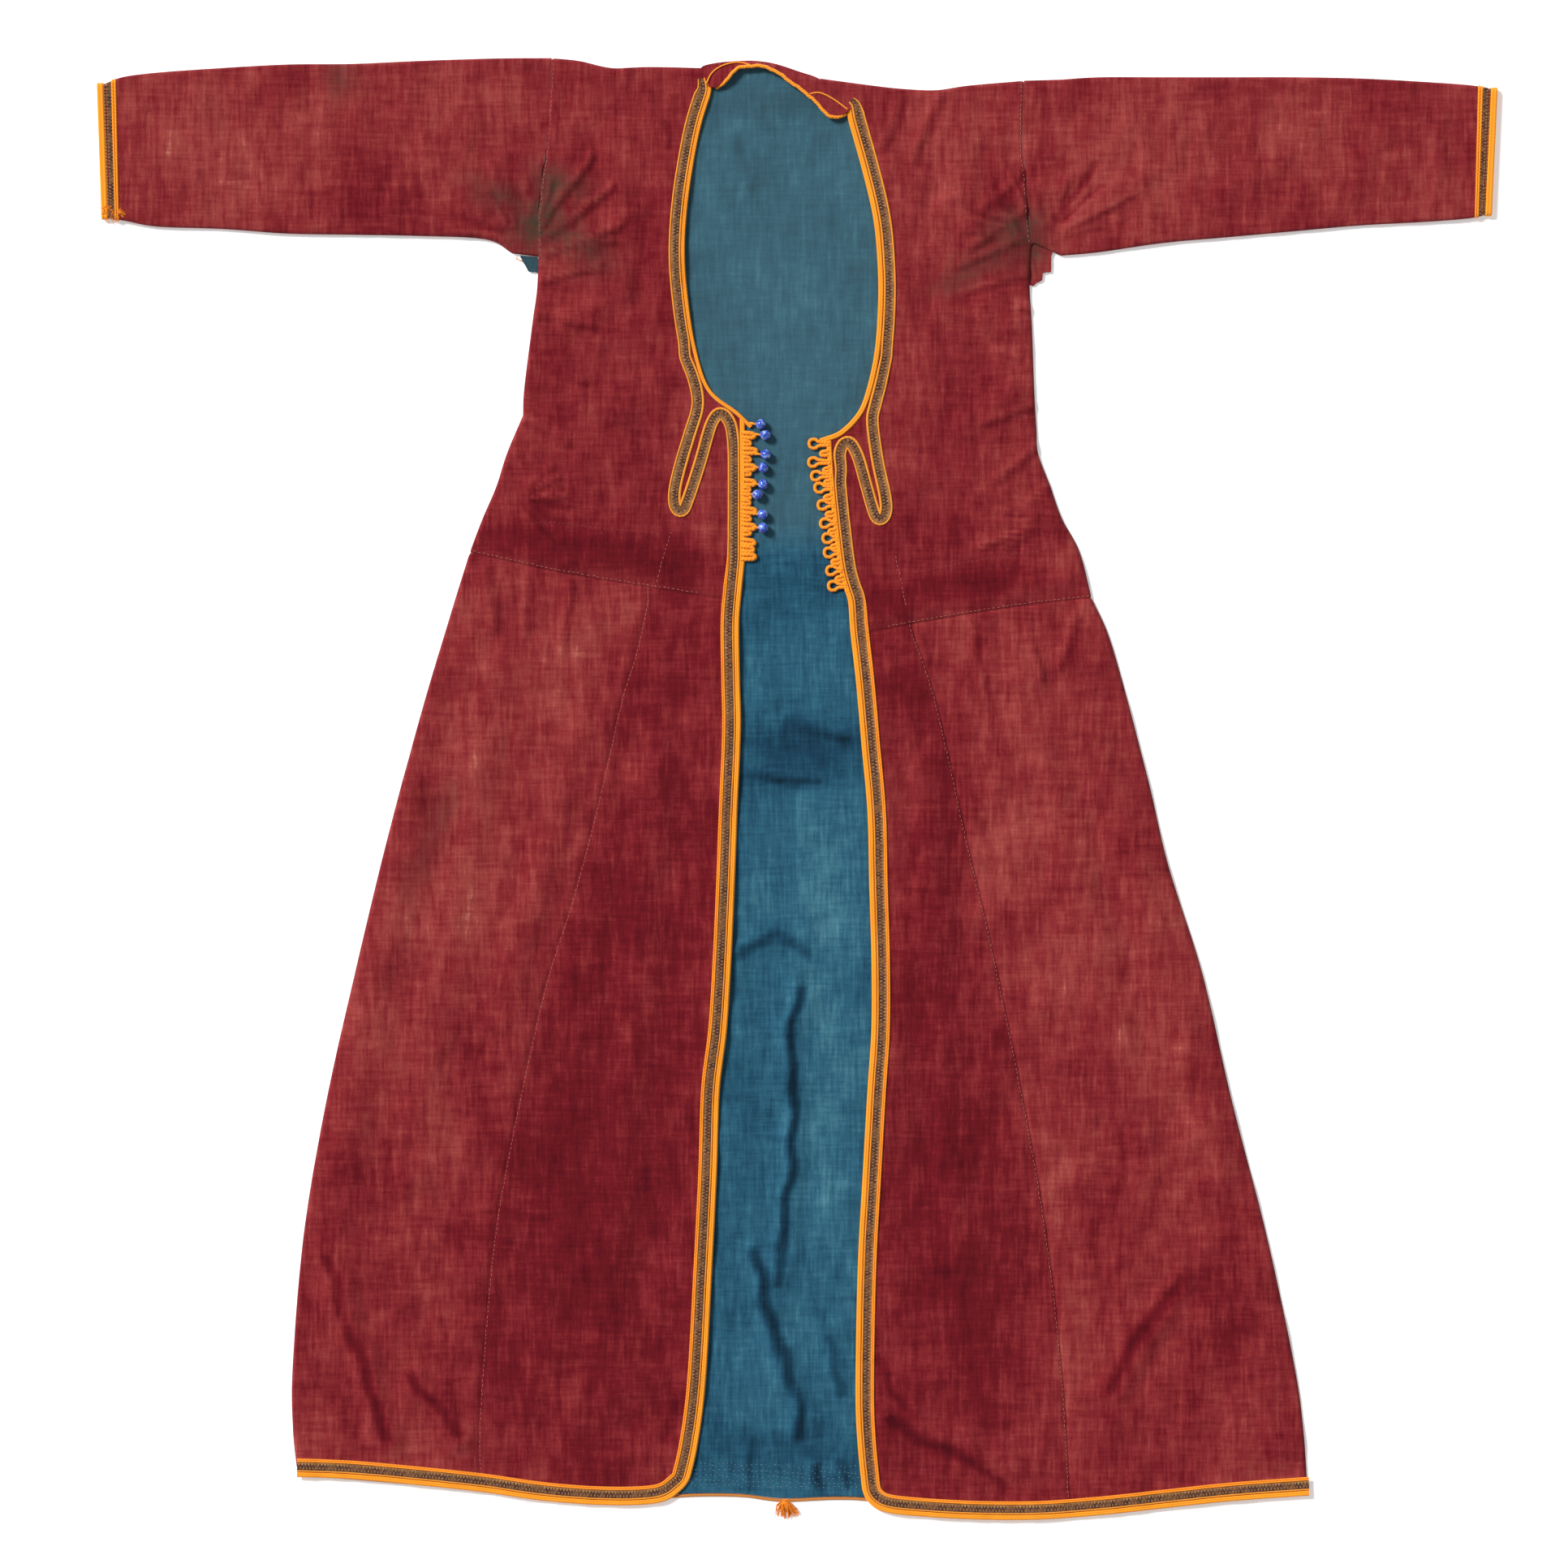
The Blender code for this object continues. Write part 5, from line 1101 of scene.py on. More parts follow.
def makeLining():
    look = liningLook
    top, bottom, left, right, rows = sheetEdges(look["rowStep"])
    bowTop, bowBottom = bowOf(top), bowOf(bottom)
    fine = np.arange(*look["fine"])
    wings = [np.linspace(0, 1, look["wings"][0])[:-1], np.linspace(0, 1, look["wings"][1])[1:]]
    grid = []
    for row in range(rows + 1):
        a, b = left[row].copy(), right[row].copy()
        if row == 0:
            a, b = top[0] - (0, look["inset"]), top[-1] - (0, look["inset"])
        if row == rows:
            a, b = bottom[0] + (0, look["hemInset"]), bottom[-1] + (0, look["hemInset"])
        x0, x1 = a[0] + look["inset"], b[0] - look["inset"]
        x = np.concatenate([x0 + (fine[0] - x0) * wings[0], fine, fine[-1] + (x1 - fine[-1]) * wings[1]])
        across, down = (x - a[0]) / (b[0] - a[0]), row / rows
        y = a[1] + (b[1] - a[1]) * across
        y = y + bowAt(bowTop, across)[:, 1] * max(0, 1 - 4 * down) + bowAt(bowBottom, across)[:, 1] * down**6
        grid.append(np.column_stack([x, y, liningBottom(x, y)]))
    piece = shell("back_lining", np.array(grid), heights["lining"], [blueCloth])
    # painted light and shade on the lining's creases
    addShades(piece, bluePatches, (), 0.0, liningCreases, creaseTone["lining"])
    finish(piece, ["back_lining"])


backHem = makeBack()
makeLining()
print("back and lining made")

# sleeves and cuffs

sleeveLook = {
    "step": 3.4, "wall": 1.4, "round": 7, "under": 16, "over": 44, "levelFrom": 11, "levelOver": 14,
    "fadeAndShade": 0.05,
}
cuffLook = {"braid": 7.0, "tape": 9.0, "tapeFrom": 0.6, "rise": 0.45, "low": -1.6, "tapeLow": 0.05}


def ringAt(section, seam=None, folds=0.0):  # points round a flattened tube
    x0, y0, x1, y1, low, high = section
    start, end = np.array([x0, y0]), np.array([x1, y1])
    length, radius = np.linalg.norm(end - start), (high - low) / 2
    arcs = np.linspace(0, math.pi, sleeveLook["round"] + 2)[1:-1]
    under, over = sleeveLook["under"], sleeveLook["over"]
    place = np.concatenate([
        np.linspace(radius, length - radius, under), length - radius + radius * np.sin(arcs),
        np.linspace(length - radius, radius, over), radius - radius * np.sin(arcs),
    ])
    z = np.concatenate([
        np.full(under, low), low + radius - radius * np.cos(arcs),
        np.full(over, high), low + radius + radius * np.cos(arcs),
    ])
    across = place / length
    points = start + (end - start) * across[:, None]
    if seam is not None:
        at = np.clip(across, 0, 1) * (len(seam) - 1)
        points[:, 0] = np.interp(at, np.arange(len(seam)), seam[:, 0])
    upper = np.clip((z - low - radius) / radius, 0, 1)
    z = z + folds * upper * np.maximum(relief(points[:, 0], points[:, 1], sleeveRelief), 0)
    return np.column_stack([points, z])


def makeSleeve(side):
    look, table = sleeveLook, smooth(sleeves[side], 6)
    seam = resample(smooth(armhole[side]), 48) + (sign[side] * clear["seam"], 0)
    top, bottom = armhole[side][0][1], armhole[side][-1][1]
    last = ringAt((0, top, 0, bottom, 0, heights["frontBottom"] + heights["front"] + 0.5), seam)
    rings = []
    for a, b in zip(table, table[1:]):
        steps = max(1, round(abs(b[0] - a[0]) / look["step"]))
        for i in range(steps):
            section = a + (b - a) * i / steps
            fromCuff = abs(section[0] - table[0][0])  # the cuff is level
            level = np.clip((fromCuff - look["levelFrom"]) / look["levelOver"], 0, 1)
            rings.append(ringAt(section, folds=level))
    before = ringAt(table[-1], folds=1.0)
    rings += [before + (last - before) * i / 5 for i in range(6)]
    piece = tubeShell(f"sleeve_{side}", np.array(rings), look["wall"], [redCloth])
    # painted light and shade on the sleeve's creases
    addShades(piece, redPatches, stains, look["fadeAndShade"], sleevePulls, creaseTone["front"])
    finish(piece, [f"sleeve_{side}"])
    return table


def cuffTrim(name, first, second, profile, materials, bands):  # a trim right round the cuff
    n = gridNormals(np.array([first, (first + second) / 2, second]), loop=True)[1]
    middle = first.mean(0)
    if ((first - middle) * n)[:, 1:].sum() < 0:
        n = -n
    n[:, 0] = 0
    n /= np.linalg.norm(n, axis=1)[:, None]
    profile = np.array(profile)
    count, around = len(profile), len(first)
    verts = np.array([first + (second - first) * t + n * rise for t, rise in profile])
    run = np.concatenate([[0], np.cumsum(np.linalg.norm(np.roll(first, -1, 0) - first, axis=1))])
    faces, uvs, faceMaterials = [], [], []
    for k in range(count):
        m = (k + 1) % count
        for j in range(around):
            i = (j + 1) % around
            faces.append((k * around + j, k * around + i, m * around + i, m * around + j))
            v0, v1 = profile[k, 0], profile[m, 0]
            uvs += [(run[j] * mm, v0), (run[j + 1] * mm, v0), (run[j + 1] * mm, v1), (run[j] * mm, v1)]
            faceMaterials.append(bands[k])
    p, q, r = verts[0][0], verts[0][1], verts[1][0]
    if np.cross(q - p, r - p) @ n[0] < 0:
        uvs = flipUvs(uvs, faces)
        faces = [face[::-1] for face in faces]
    return newMesh(name, verts.reshape(-1, 3), faces, materials, uvs, faceMaterials, 60)


def hump(centre, half, height, first=0, last=180, count=7):  # top of a cord lying on a flat base
    angles = np.radians(np.linspace(first, last, count))
    return [(centre - half * math.cos(a), height * math.sin(a)) for a in angles]


def makeCuff(side, table):
    look, end = cuffLook, table[0]
    out = np.array([sign[side], 0, sign[side], 0, 0, 0])
    inward = (table[1] - end) / abs(table[1][0] - end[0])
    a, b = (ringAt(end + out * (clear["touch"] + far)) for far in (0, look["braid"]))
    profile = [(0.0, look["low"]), (0.0, look["rise"]), (0.16, look["rise"])]
    profile += hump(0.39, 0.21, 1.2, 10, 135, 5) + hump(0.78, 0.21, 1.2, 45, 170, 5)
    profile += [(1.0, look["low"])]
    piece = cuffTrim(f"cuff_edge_{side}", a, b, profile, [orangeBraid, tapeBand], [0, 1] + [0] * 12)
    finish(piece, [f"cuff_edge_{side}"])
    a, b = (ringAt(end + inward * (look["tapeFrom"] + far)) for far in (0, look["tape"]))
    profile = [(0.0, look["tapeLow"]), (0.01, look["rise"]), (0.5, look["rise"])]
    profile += hump(0.62, 0.12, 1.3, 20, 165, 5) + hump(0.87, 0.12, 1.3, 15, 170, 5)
    profile += [(1.0, look["tapeLow"])]
    piece = cuffTrim(f"cuff_tape_{side}", a, b, profile, [tapeBand, orangeCord], [0] * 3 + [1] * 11)
    finish(piece, [f"cuff_tape_{side}"])


for side in sides:
    makeCuff(side, makeSleeve(side))
print("sleeves made")

# edge braid, tape and its tongues

trimLook = {
    "step": 1.6, "braidHeight": 2.6, "neckEnd": {"left": 12.0, "right": 10.0}, "tongueStart": 385.0,
    "braidTop": {"left": 608.5, "right": 588.0}, "tapeTop": {"left": 613.5, "right": 592.0},
    "cordChange": {"left": 215.0, "right": 178.0}, "taper": 14.0, "overhang": 2.4, "braidCorner": 3.5,
    "tapeCorner": 3.0, "tapeLift": 0.12,
}
tapeShape = {  # inner half, outer half, inner cord and outer cord radius of each stretch
    "start": (5.0, 1.6, 0.8, 0.6), "neck": (5.0, 5.4, 0.9, 0.9), "tongue": (5.5, 5.6, 1.1, 0.85),
    "front": (5.0, 5.2, 0.8, 0.85), "low": (5.05, 6.3, 0.7, 1.6),
}


def braidProfile(near, far, height):
    w = far - near
    top = hump(0.3 * w, 0.3 * w, height, 0, 122, 6) + hump(0.7 * w, 0.3 * w, height, 58, 180, 6)
    return [(near + across, rise) for across, rise in top]


def mirrored(profile, side):  # a profile is written for the left front, with its free edge positive
    return profile if side == "left" else [(-across, rise) for across, rise in profile]


def roundCorner(first, second, keep):
    corner = first[-1]
    first = first[np.linalg.norm(first - corner, axis=1) > keep]
    second = second[np.linalg.norm(second - corner, axis=1) > keep]
    t = np.linspace(0, 1, 12)[1:-1, None]
    bend = first[-1] * (1 - t) ** 2 + 2 * corner * t * (1 - t) + second[0] * t**2
    return np.vstack([first, bend, second])


def makeTrims(side):
    edge, look, s = edges[side], trimLook, sign[side]
    near = clear["touch"]

    def braid(name, path, width):
        profile = mirrored(braidProfile(near, near + width, look["braidHeight"]), side)
        return sweep(name, path, lambda i: profile, frontBottom, [orangeBraid])

    neckLine = splitAt(edge["neck"], look["braidTop"][side])[1]
    along = neckLine[-1] - neckLine[-3]
    tip = neckLine[-1] + along / np.linalg.norm(along) * look["neckEnd"][side]
    path = relax(everyStep(np.vstack([neckLine, tip[None]]), look["step"]), 12)
    piece = braid(f"neck_braid_{side}", path, widths["neckBraid"][side])
    finish(piece, [f"neck_braid_{side}"])

    hemLine = edge["hem"][:-1]
    hemLine = np.vstack([hemLine, hemLine[-1:] + (s * look["overhang"], 0)])
    whole = relax(everyStep(roundCorner(edge["front"], hemLine, look["braidCorner"]), look["step"]), 2)
    half = np.arange(len(whole)) > len(whole) / 2
    below = (whole[:, 1] < frillEdge[side][-1][1]) | half
    piece = braid(f"front_braid_{side}", whole[below], widths["frontBraid"])
    finish(piece, [f"front_braid_{side}"])
    upper = whole[~below]
    last = upper[-1] + (whole[below][0] - upper[-1]) * 0.9
    name = "frill_left" if side == "left" else "loop_strip_right"
    path = np.vstack([upper, last[None]])
    addTeeth(side, name, path, braid(name, path, widths["frontBraid"]))

    inward = s * (widths["tape"] / 2 + near)
    neckTape = beside(everyStep(splitAt(edge["neck"], look["tapeTop"][side])[1], 4.0), inward)
    neckTape = neckTape[neckTape[:, 1] > look["tongueStart"]]
    tongueLine = smooth(tongue[side], 6)
    lowerTape = beside(roundCorner(edge["front"], hemLine, look["tapeCorner"]), inward)
    lowerTape = lowerTape[(lowerTape[:, 1] < tongueLine[-1, 1] - widths["tape"])]
    path = relax(everyStep(np.vstack([neckTape, tongueLine, lowerTape]), look["step"]), 3)
    run = runLength(path)
    tongueAt, frontAt = (run[np.linalg.norm(path - end, axis=1).argmin()] for end in tongueLine[[0, -1]])
    changeAt = run[(np.abs(path[:, 1] - look["cordChange"][side]) + 900 * (run < frontAt)).argmin()]
    stations = [0, look["taper"], tongueAt, tongueAt + 25, frontAt - 15, frontAt + 5, changeAt, changeAt + 40]
    kinds = ("start", "neck", "neck", "tongue", "tongue", "front", "front", "low")
    shape = np.stack([np.interp(run, stations, [tapeShape[kind][k] for kind in kinds]) for k in range(4)], 1)

    def tapeProfile(i):
        inner, outer, innerCord, outerCord = shape[i]
        pair = np.clip((outerCord - 0.8) / 0.8, 0, 1)  # the outer cord splits into two of them
        r = outerCord / (1 + pair)
        first = hump(-outer + r, r, 1.2 + 0.3 * pair, 0, 180 - 30 * pair, 5)
        second = hump(-outer + r + 2 * r * pair, r, 1.2 + 0.3 * pair, 180 - 150 * pair, 180, 5)
        low, high = -outer + 2 * r * (1 + pair) + 0.1, inner - 2 * innerCord - 0.1
        points = first + second + [(low, 0.5), ((low + high) / 2, 0.65), (high, 0.5)]
        return mirrored(points + hump(inner - innerCord, innerCord, 1.15, 0, 180, 5), side)

    def tapeBands(i):
        return [2 if shape[i][3] > 1.1 else 1] * 9 + [0] * 4 + [1] * 6

    def tapeBase(x, y):
        return frontTop(x, y) + look["tapeLift"]

    materials = [tapeBand, goldCord, orangeCord]
    piece = sweep(f"tape_{side}", path, tapeProfile, tapeBase, materials, tapeBands)
    finish(piece, [f"tape_{side}"])


# the row of cord teeth beside the beads, and the strip with the loops

frillTeeth = (  # y, length and width of each
    (305.5, 9, 2.9), (299.3, 5.5, 2.4), (291.6, 10.5, 2.9), (285.3, 5.5, 2.4), (277.6, 9.5, 2.9),
    (272.7, 5.5, 2.2), (265, 9.5, 2.9), (258.7, 5, 2.4), (253, 5.5, 2.4), (247.5, 5, 2.4), (240.8, 10, 2.9),
    (234.2, 5.5, 2.4), (226.5, 9.5, 2.9), (220.9, 5.5, 2.4), (213.5, 9, 2.9), (207.6, 8, 2.9),
    (200.6, 9.5, 3),
)
stripTeeth = (
    (290, 6, 2.6), (276.2, 4.6, 2.2), (264.8, 4.4, 2.2), (252.3, 5.6, 2.6), (237.2, 5.6, 2.6),
    (222.8, 5, 2.4), (210, 4.6, 2.2), (196.3, 5.6, 2.6), (182.4, 5, 2.4),
)

toothRows = (  # part of the reach, part of the radius to the side, height
    (0.0, 1.1, 1.7), (0.45, 1.15, 2.5), (0.86, 0.95, 2.1), (1.0, 0.0, 1.9), (0.86, -0.95, 2.0),
    (0.45, -1.15, 2.3), (0.0, -1.1, 1.6),
)


def addTeeth(side, name, path, base):
    parts, rng = newParts(), random.Random(7)
    out = -sign[side]  # towards the open front
    for y, length, half in frillTeeth if side == "left" else stripTeeth:
        x = np.interp(-y, -path[:, 1], path[:, 0]) + out * (clear["touch"] + 1.5)
        reach = widths["frontBraid"] + length - 2.4
        lean = rng.uniform(-0.9, 0.9) - 0.5
        r = half * 0.6
        z = heights["frontBottom"]
        line = [(x + out * reach * t, y + off * r + lean * t, z + rise) for t, off, rise in toothRows]
        addTube(parts, smooth(line, 5), r * 1.1, 8)
    teeth = meshFrom(name + "_teeth", parts, [orangeCord])
    bpy.ops.object.select_all(action="DESELECT")
    teeth.select_set(True)
    base.select_set(True)
    bpy.context.view_layer.objects.active = base
    bpy.ops.object.join()
    finish(base, [name])


for side in sides:
    makeTrims(side)
print("trims made")

# beads and loops

beadSpots = (
    (-30.9, 314.6), (-27, 305.3), (-26.6, 288.5), (-28.8, 277.2), (-28.8, 262.8), (-33.6, 254),
    (-29.3, 236.9), (-28.8, 225.3),
)
loopSpots = (
    (14.3, 297.5), (13.9, 282), (16.4, 270.2), (19.2, 259.5), (22, 245), (24.1, 229.5), (26.2, 216.1),
    (27.4, 203.8), (29.5, 188.7), (31, 175.2),
)
beadShape = {"radius": 4.75, "flat": 0.93, "hole": 0.97, "segments": 24, "rings": 16}
loopShape = {"cord": 1.5, "rest": 2.9}


def makeBead(number, x, y):
    shape = beadShape
    radius = shape["radius"] * mm
    rest = liningTop(np.array([x]), np.array([y]))[0] + 0.1
    bpy.ops.object.select_all(action="DESELECT")
    bpy.ops.mesh.primitive_uv_sphere_add(segments=shape["segments"], ring_count=shape["rings"], radius=radius)
    bead = bpy.context.active_object
    bead.name = f"shown_bead_{number}"
    bpy.ops.object.mode_set(mode="EDIT")
    bpy.ops.mesh.select_all(action="DESELECT")
    bpy.ops.object.mode_set(mode="OBJECT")
    for vert in bead.data.vertices:  # the two poles, where the hole goes through
        vert.select = abs(vert.co.z) > radius * shape["hole"]
    bpy.ops.object.mode_set(mode="EDIT")
    bpy.ops.mesh.select_mode(type="VERT")
    bpy.ops.mesh.delete(type="VERT")
    bpy.ops.mesh.select_all(action="DESELECT")
    bpy.ops.mesh.select_non_manifold()
    bpy.ops.mesh.bridge_edge_loops()
    bpy.ops.mesh.select_all(action="SELECT")
    bpy.ops.mesh.normals_make_consistent(inside=False)
    bpy.ops.transform.resize(value=(1, 1, shape["flat"]))
    turn = math.radians(88 + 7 * math.sin(number * 2.1))
    bpy.ops.transform.rotate(value=turn, orient_axis="Y", center_override=(0, 0, 0))
    bpy.ops.transform.rotate(value=number * 0.7, orient_axis="Z", center_override=(0, 0, 0))
    bpy.ops.transform.translate(value=(x * mm, y * mm, rest * mm + radius))
    bpy.ops.object.mode_set(mode="OBJECT")
    bpy.ops.object.shade_smooth_by_angle(angle=math.radians(50))
    bead.data.materials.append(blueGlass)
    finish(bead, [f"bead_{number}"])


def makeBeadThreads():  # short shanks from the teeth to the beads
    parts = newParts()
    for x, y in beadSpots:
        z = heights["liningBottom"] + 4.6
        line = [(x - 9.5, y + 0.8, z - 1.0), (x - 6.5, y + 0.5, z), (x - 3.5, y, z + 0.2)]
        addTube(parts, smooth(line, 4), np.linspace(1.3, 0.8, 9), 7)
    finish(meshFrom("bead_shanks", parts, [orangeCord]), [])


def makeLoop(number, x, y):
    z, lean = loopShape["rest"] + loopShape["cord"], 0.9 * math.sin(number * 1.9)
    edge = np.array(frillEdge["right"])
    start = np.interp(-y, -edge[:, 1], edge[:, 0]) + 2.5
    line = [
        (start, y + 1.0, z + 0.9), (x + 5.2, y + 2.0, z + 0.5), (x + 1.8, y + 3.8 + lean * 0.3, z),
        (x - 2.2, y + 3.1 + lean * 0.5, z), (x - 3.4, y - 0.2 + lean * 0.6, z),
        (x - 1.8, y - 3.3 + lean * 0.4, z), (x + 2.0, y - 3.5, z), (x + 5.2, y - 1.4, z + 0.5),
        (start, y - 1.0, z + 0.9),
    ]
    parts = newParts()
    addTube(parts, smooth(line, 5), loopShape["cord"], 10)
    finish(meshFrom(f"loop_{number}", parts, [orangeCord]), [f"loop_{number}"])


for number, spot in enumerate(beadSpots, 1):
    makeBead(number, *spot)
makeBeadThreads()
for number, spot in enumerate(loopSpots, 1):
    makeLoop(number, *spot)
print("beads and loops made")

# collar, hem cord, gussets and tassel

collarOuter = (
    (-77.8, 605.8), (-79.8, 612), (-82.4, 621.6), (-72, 625), (-53.5, 626.8), (-36, 627.2), (-18.5, 624.8),
    (2.4, 618.2), (18.6, 612.6), (34.6, 600.9), (45.8, 591.4), (49, 588.2),
)
collarSeam = (  # thin cord on the collar's seam, where it shows
    ((-78, 608), (-73.2, 617), (-66, 622.6), (-57, 625.8), (-48.5, 626.4), (-40.5, 624.4)),
    ((11, 599.4), (20, 600.2), (31, 595.2), (43.8, 586)),
)
collarCord = (
    (-69, 604.4), (-62.6, 608.6), (-54.5, 618), (-46, 622.6), (-28, 622.6), (-16.4, 617.4), (-1.8, 607),
    (12.2, 596.4), (22, 586.2), (29.7, 579.2), (37.5, 579.8), (42.4, 582.6),
)
collarLook = {"low": 3.0, "high": 6.8, "cord": 1.55, "seam": 0.65, "thick": 1.2, "rows": 90, "cordSteps": 130}


def makeCollar():
    look = collarLook
    low, high, rows = look["low"], look["high"], look["rows"]
    grid = []
    for a, b in zip(resample(smooth(collarOuter), rows), resample(smooth(collarCord), rows)):
        reach = np.linalg.norm(b - a)
        end = a + (b - a) * max(0.3, (reach - look["cord"] * 0.8) / reach)
        t = np.linspace(0, 1, 9)
        z = low + (high - low) * np.sin(t * math.pi / 2)
        grid.append(np.column_stack([a + (end - a) * t[:, None], z]))
    piece = shell("collar_band", np.array(grid), look["thick"], [redCloth])
    addShades(piece, redPatches, stains)
    finish(piece, ["collar_band"])
    parts, line = newParts(), resample(smooth(collarCord), look["cordSteps"])
    step = np.arange(len(line))
    wave = 0.35 * np.sin(step * 0.33) + 0.2 * np.sin(step * 0.81)
    lift = np.minimum(1, np.minimum(step, step[::-1]) / 14)
    z = low + 1.0 + (high + 0.6 - low) * lift**0.6
    addTube(parts, np.column_stack([line[:, 0], line[:, 1] + wave, z]), look["cord"], 10)
    for seam in collarSeam:
        path = smooth(seam, 8)
        addTube(parts, np.column_stack([path, np.full(len(path), high + 0.9)]), look["seam"], 6)
    finish(meshFrom("collar_cord", parts, [orangeCord]), ["collar_cord"])


def makeHemCord():
    profile = [(across - 2.9, rise) for across, rise in hump(1.3, 1.3, 2.0, 0, 180, 9)]
    path = everyStep(backHem, 2.0)
    piece = sweep("hem_cord_back", path, lambda i: profile, lambda x, y: np.full_like(x, 0.3), [hemCord])
    finish(piece, ["hem_cord_back"])


gussetShape = {
    "gusset_right": (
        (202.2, 472.4), (207.5, 471.2), (216, 466.8), (221.4, 463.2), (219.8, 460.5), (219.5, 446.3),
        (212.5, 444.9), (211.8, 438.6), (200.8, 432.8),
    ),
    "gusset_left": ((-239, 460.3), (-231, 446), (-222.2, 445.6), (-222.6, 458.8)),
}


gussetLook = {"rows": 9, "columns": 41, "rise": 0.6, "fray": 0.5, "wave": 0.3, "thick": 1.2}


def makeGusset(name, high):  # a small torn piece: rows from its seam to its free edge
    look, rng = gussetLook, random.Random(3)
    outline, columns = np.array(gussetShape[name]), look["columns"]
    first, last = outline[0], outline[-1]
    free = resample(outline, columns - 1)
    fray = np.array([rng.uniform(-look["fray"], look["fray"]) for _ in range(columns)])
    fray[[0, -1]] = 0
    seam = first + (last - first) * np.linspace(0, 1, columns)[:, None]
    bulge = high * 0.4 * np.sin(np.linspace(0, 3, columns))
    grid = []
    for t in np.linspace(0, 1, look["rows"]):
        row = seam + (free - seam) * t + np.column_stack([np.zeros(columns), fray * t])
        z = look["rise"] + bulge * t + look["wave"] * ripples(row[:, 0], row[:, 1], 9, 4) * t
        grid.append(np.column_stack([row, np.maximum(z, 0.1)]))
    red = name == "gusset_right"
    piece = shell(name, np.array(grid)[:, 2:-2], look["thick"], [redCloth if red else blueCloth])
    if red:
        addShades(piece, redPatches, stains)
    else:
        # painted shade: the blue scrap is darkened all over to stand in for the shadow it lies in
        addShades(piece, bluePatches, (), -0.9)
    finish(piece, [name])


tasselLook = {"strands": 120, "head": (-10.0, -612.6), "length": 17.5, "spread": 13.0, "strand": (0.42, 0.2)}


def makeTassel():
    look, rng, parts = tasselLook, random.Random(12), newParts()
    x0, y0 = look["head"]
    for _ in range(look["strands"]):
        half = rng.choice((-1, 1, 1, -1, 0))  # most strands lie in one of two halves
        lean = rng.uniform(-0.35, 0.35) + half * 0.45
        length = look["length"] * rng.uniform(0.55, 1.0) * (1.0 - 0.25 * abs(lean))
        z0, z1 = rng.uniform(2.0, 5.2), rng.uniform(0.5, 3.6)
        bend = rng.uniform(-2.0, 2.0)
        top = (x0 + rng.uniform(-1.6, 1.6), y0 + rng.uniform(-0.8, 0.8), z0)
        middle = (x0 + lean * 7 + bend, y0 - length * 0.45, z0 + 0.6)
        line = [top, middle, (x0 + look["spread"] * lean + 2.0, y0 - length, z1)]
        addTube(parts, smooth(line, 3), np.linspace(*look["strand"], 7), 4)
    knot = [(x0 - 2.6, y0 - 1.6, 3.0), (x0 - 0.6, y0 - 2.6, 4.4), (x0 + 2.4, y0 - 1.9, 3.2)]
    addTube(parts, smooth(knot, 4), [1.0, 1.3, 1.5, 1.6, 1.7, 1.6, 1.5, 1.3, 1.0], 8)
    finish(meshFrom("tassel", parts, [tasselSilk]), ["tassel"])


makeCollar()
makeHemCord()
makeGusset("gusset_right", 2.6)
makeGusset("gusset_left", 1.6)
makeTassel()
print("collar, hem and tassel made")

# stitches and loose threads

stitchLook = {"length": 2.3, "gap": 1.7, "radius": 0.24, "end": 0.12, "jitter": 0.35}
hemLook = {"length": 1.5, "gap": 2.4, "radius": 0.22, "end": 0.12, "jitter": 1.1}


def makeStitches(name, lines, material, surface, look=stitchLook):
    parts, rng = newParts(), random.Random(len(name))
    for line in lines:
        line = everyStep(np.asarray(line, float), 0.5)
        run, at = runLength(line), 0.5
        while at + look["length"] < run[-1]:
            length = look["length"] * rng.uniform(0.7, 1.15)
            ends = pointsAt(line, [at, at + length / 2, at + length])
            ends = ends + rng.uniform(-look["jitter"], look["jitter"])
            z = surface(ends[:, 0], ends[:, 1]) + (0.02, look["radius"] * 0.9, 0.02)
            addTube(parts, np.column_stack([ends, z]), [look["end"], look["radius"], look["end"]], 4)
            at += length + look["gap"] * rng.uniform(0.7, 1.4)
    finish(meshFrom(name, parts, [material], 80), [])


upperSeam = {  # the side seam of the front goes on above the waist
    "left": [(-122, 174), (-114.2, 203), (-107.5, 224)],
    "right": [(94, 158), (89, 186), (84.6, 203)],
}
tuckLine = {
    "left": [(-236.7, 228.7), (-207.6, 229.9), (-169.6, 225), (-131.8, 222), (-118, 219)],
    "right": [(98, 186), (128, 192), (170, 200), (212, 206)],
}
for side in sides:
    s = sign[side]
    seams = [edges[side]["gore"] + (s * -1.6, 0), edges[side]["waist"][4:] + (0, 2.0), upperSeam[side]]
    makeStitches(f"seam_stitches_{side}", seams, paleThread, frontTop)
    makeStitches(f"tuck_stitches_{side}", [smooth(tuckLine[side])], redThread, frontTop)
    armSeam = smooth(armhole[side]) + (s * -2.2, 0)
    makeStitches(f"armhole_stitches_{side}", [armSeam], paleThread, frontTop)
hemRows = [
    [(-92, y), (-40, y - 1.0), (0, y - 2.4), (54, y - 2.6)] for y in (-581.5, -586.5, -591.0, -595.5, -599.5)
]
makeStitches("hem_stitches", hemRows, hemThread, liningTop, hemLook)
sideRow = [(408, -432), (414, -500), (416, -551)]
makeStitches("side_stitches_right", [sideRow], redThread, frontTop)


looseSpots = (  # x, y, count, reach, height
    (-589, 494, 6, 8.0, 5.6), (-595, 501, 14, 7.5, 6.4), (-585, 499, 16, 7.5, 6.4), (-240, 457, 4, 7.0, 1.4),
)


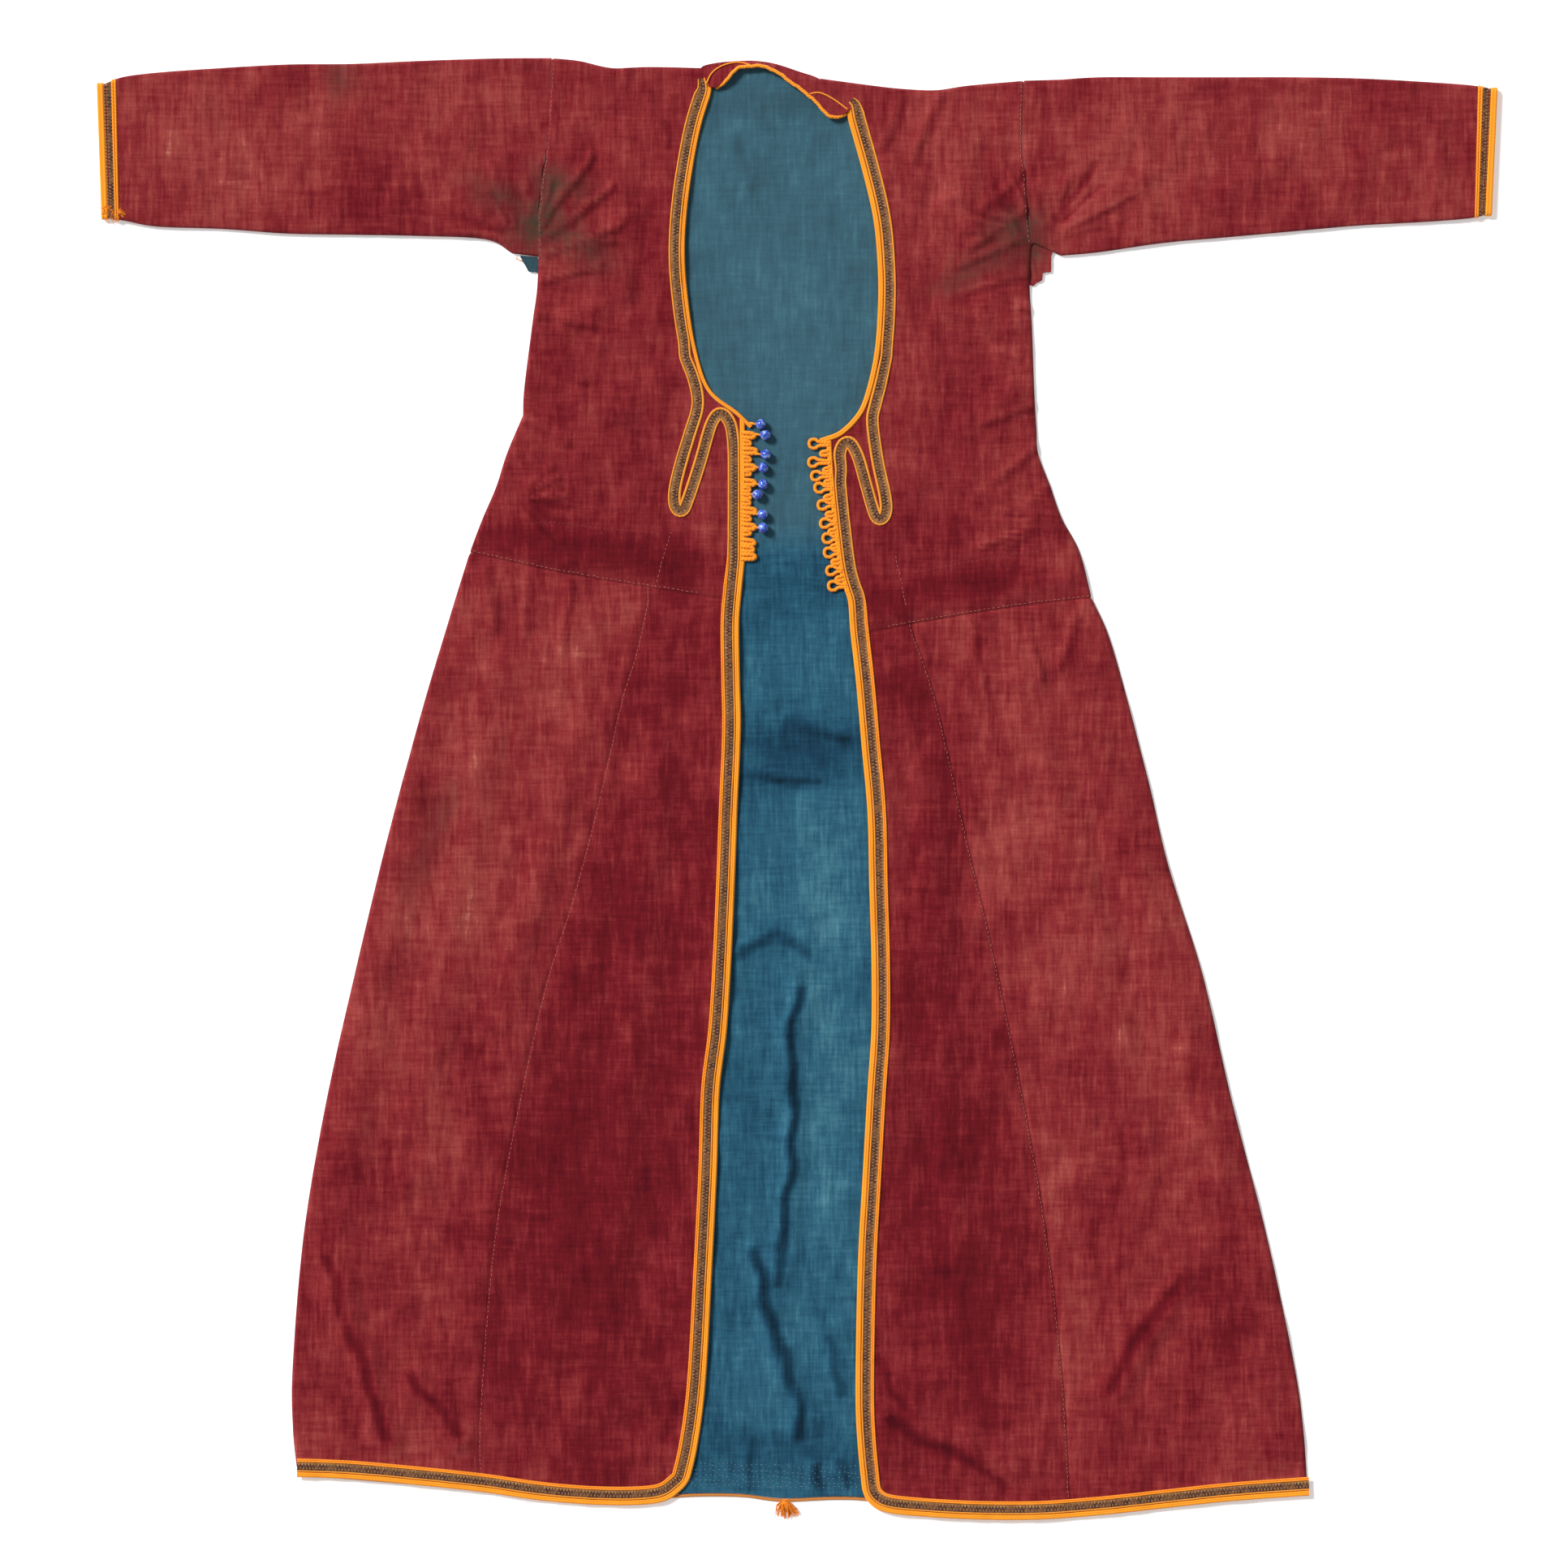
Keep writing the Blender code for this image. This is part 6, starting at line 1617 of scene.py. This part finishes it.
def makeLooseThreads():
    parts, rng = newParts(), random.Random(5)
    for x, y, count, reach, z in looseSpots:
        for _ in range(count):
            a = rng.uniform(0, 6.28)
            line = [(x, y, z)]
            for _ in range(3):
                a += rng.uniform(-1.4, 1.4)
                x0, y0 = line[-1][:2]
                x1, y1 = x0 + math.cos(a) * reach / 3, y0 + math.sin(a) * reach / 4 - 0.8
                line.append((x1, y1, z + rng.uniform(-0.4, 1.4)))
            addTube(parts, smooth(line, 4), 0.22, 4)
    finish(meshFrom("loose_threads", parts, [tasselSilk], 80), [])


makeLooseThreads()
print("stitches made")

# the flat cut sizes of the front pieces; the loop reads each piece's side and sets nothing

for name, (width, length, area) in panelCut.items():
    side = name.rsplit("_", 1)[1]

# floor, light and camera

stageLook = {"floor": 0.93, "glow": 0.3, "key": 4.0, "turn": (-28, -41, 0), "spread": 16, "fill": 0.36}
bpy.ops.object.select_all(action="DESELECT")
bpy.ops.mesh.primitive_plane_add(size=14, location=(0, 0, -0.0002))
floor = bpy.context.active_object
floor.name = "floor"
floorMaterial, _, floorShader = startMaterial("pale floor")
setInputs(floorShader, Base_Color=(stageLook["floor"],) * 3 + (1.0,), Roughness=0.9, Specular_IOR_Level=0.1)
setInputs(floorShader, Emission_Color=(1.0, 1.0, 1.0, 1.0), Emission_Strength=stageLook["glow"])
floor.data.materials.append(floorMaterial)

world = bpy.data.worlds.new("soft studio")
bpy.context.scene.world = world
world.use_nodes = True
setInputs(world.node_tree.nodes["Background"], Color=(1.0, 1.0, 1.0, 1.0), Strength=stageLook["fill"])

keyData = bpy.data.lights.new("key", "SUN")
keyData.energy = stageLook["key"]
keyData.angle = math.radians(stageLook["spread"])
key = bpy.data.objects.new("key", keyData)
bpy.context.scene.collection.objects.link(key)
key.rotation_euler = [math.radians(a) for a in stageLook["turn"]]

cameraLook = {"height": 8.0, "frame": 1.3524, "x": -0.01085, "y": 0.00455, "sensor": 36.0}
cameraData = bpy.data.cameras.new("camera")
camera = bpy.data.objects.new("camera", cameraData)
bpy.context.scene.collection.objects.link(camera)
camera.location = (cameraLook["x"], cameraLook["y"], cameraLook["height"])
cameraData.sensor_width = cameraLook["sensor"]
cameraData.lens = cameraLook["sensor"] * cameraLook["height"] / cameraLook["frame"]
cameraData.clip_end = 100.0
bpy.context.scene.camera = camera
bpy.context.scene.view_settings.view_transform = "Standard"

print("coat ready")
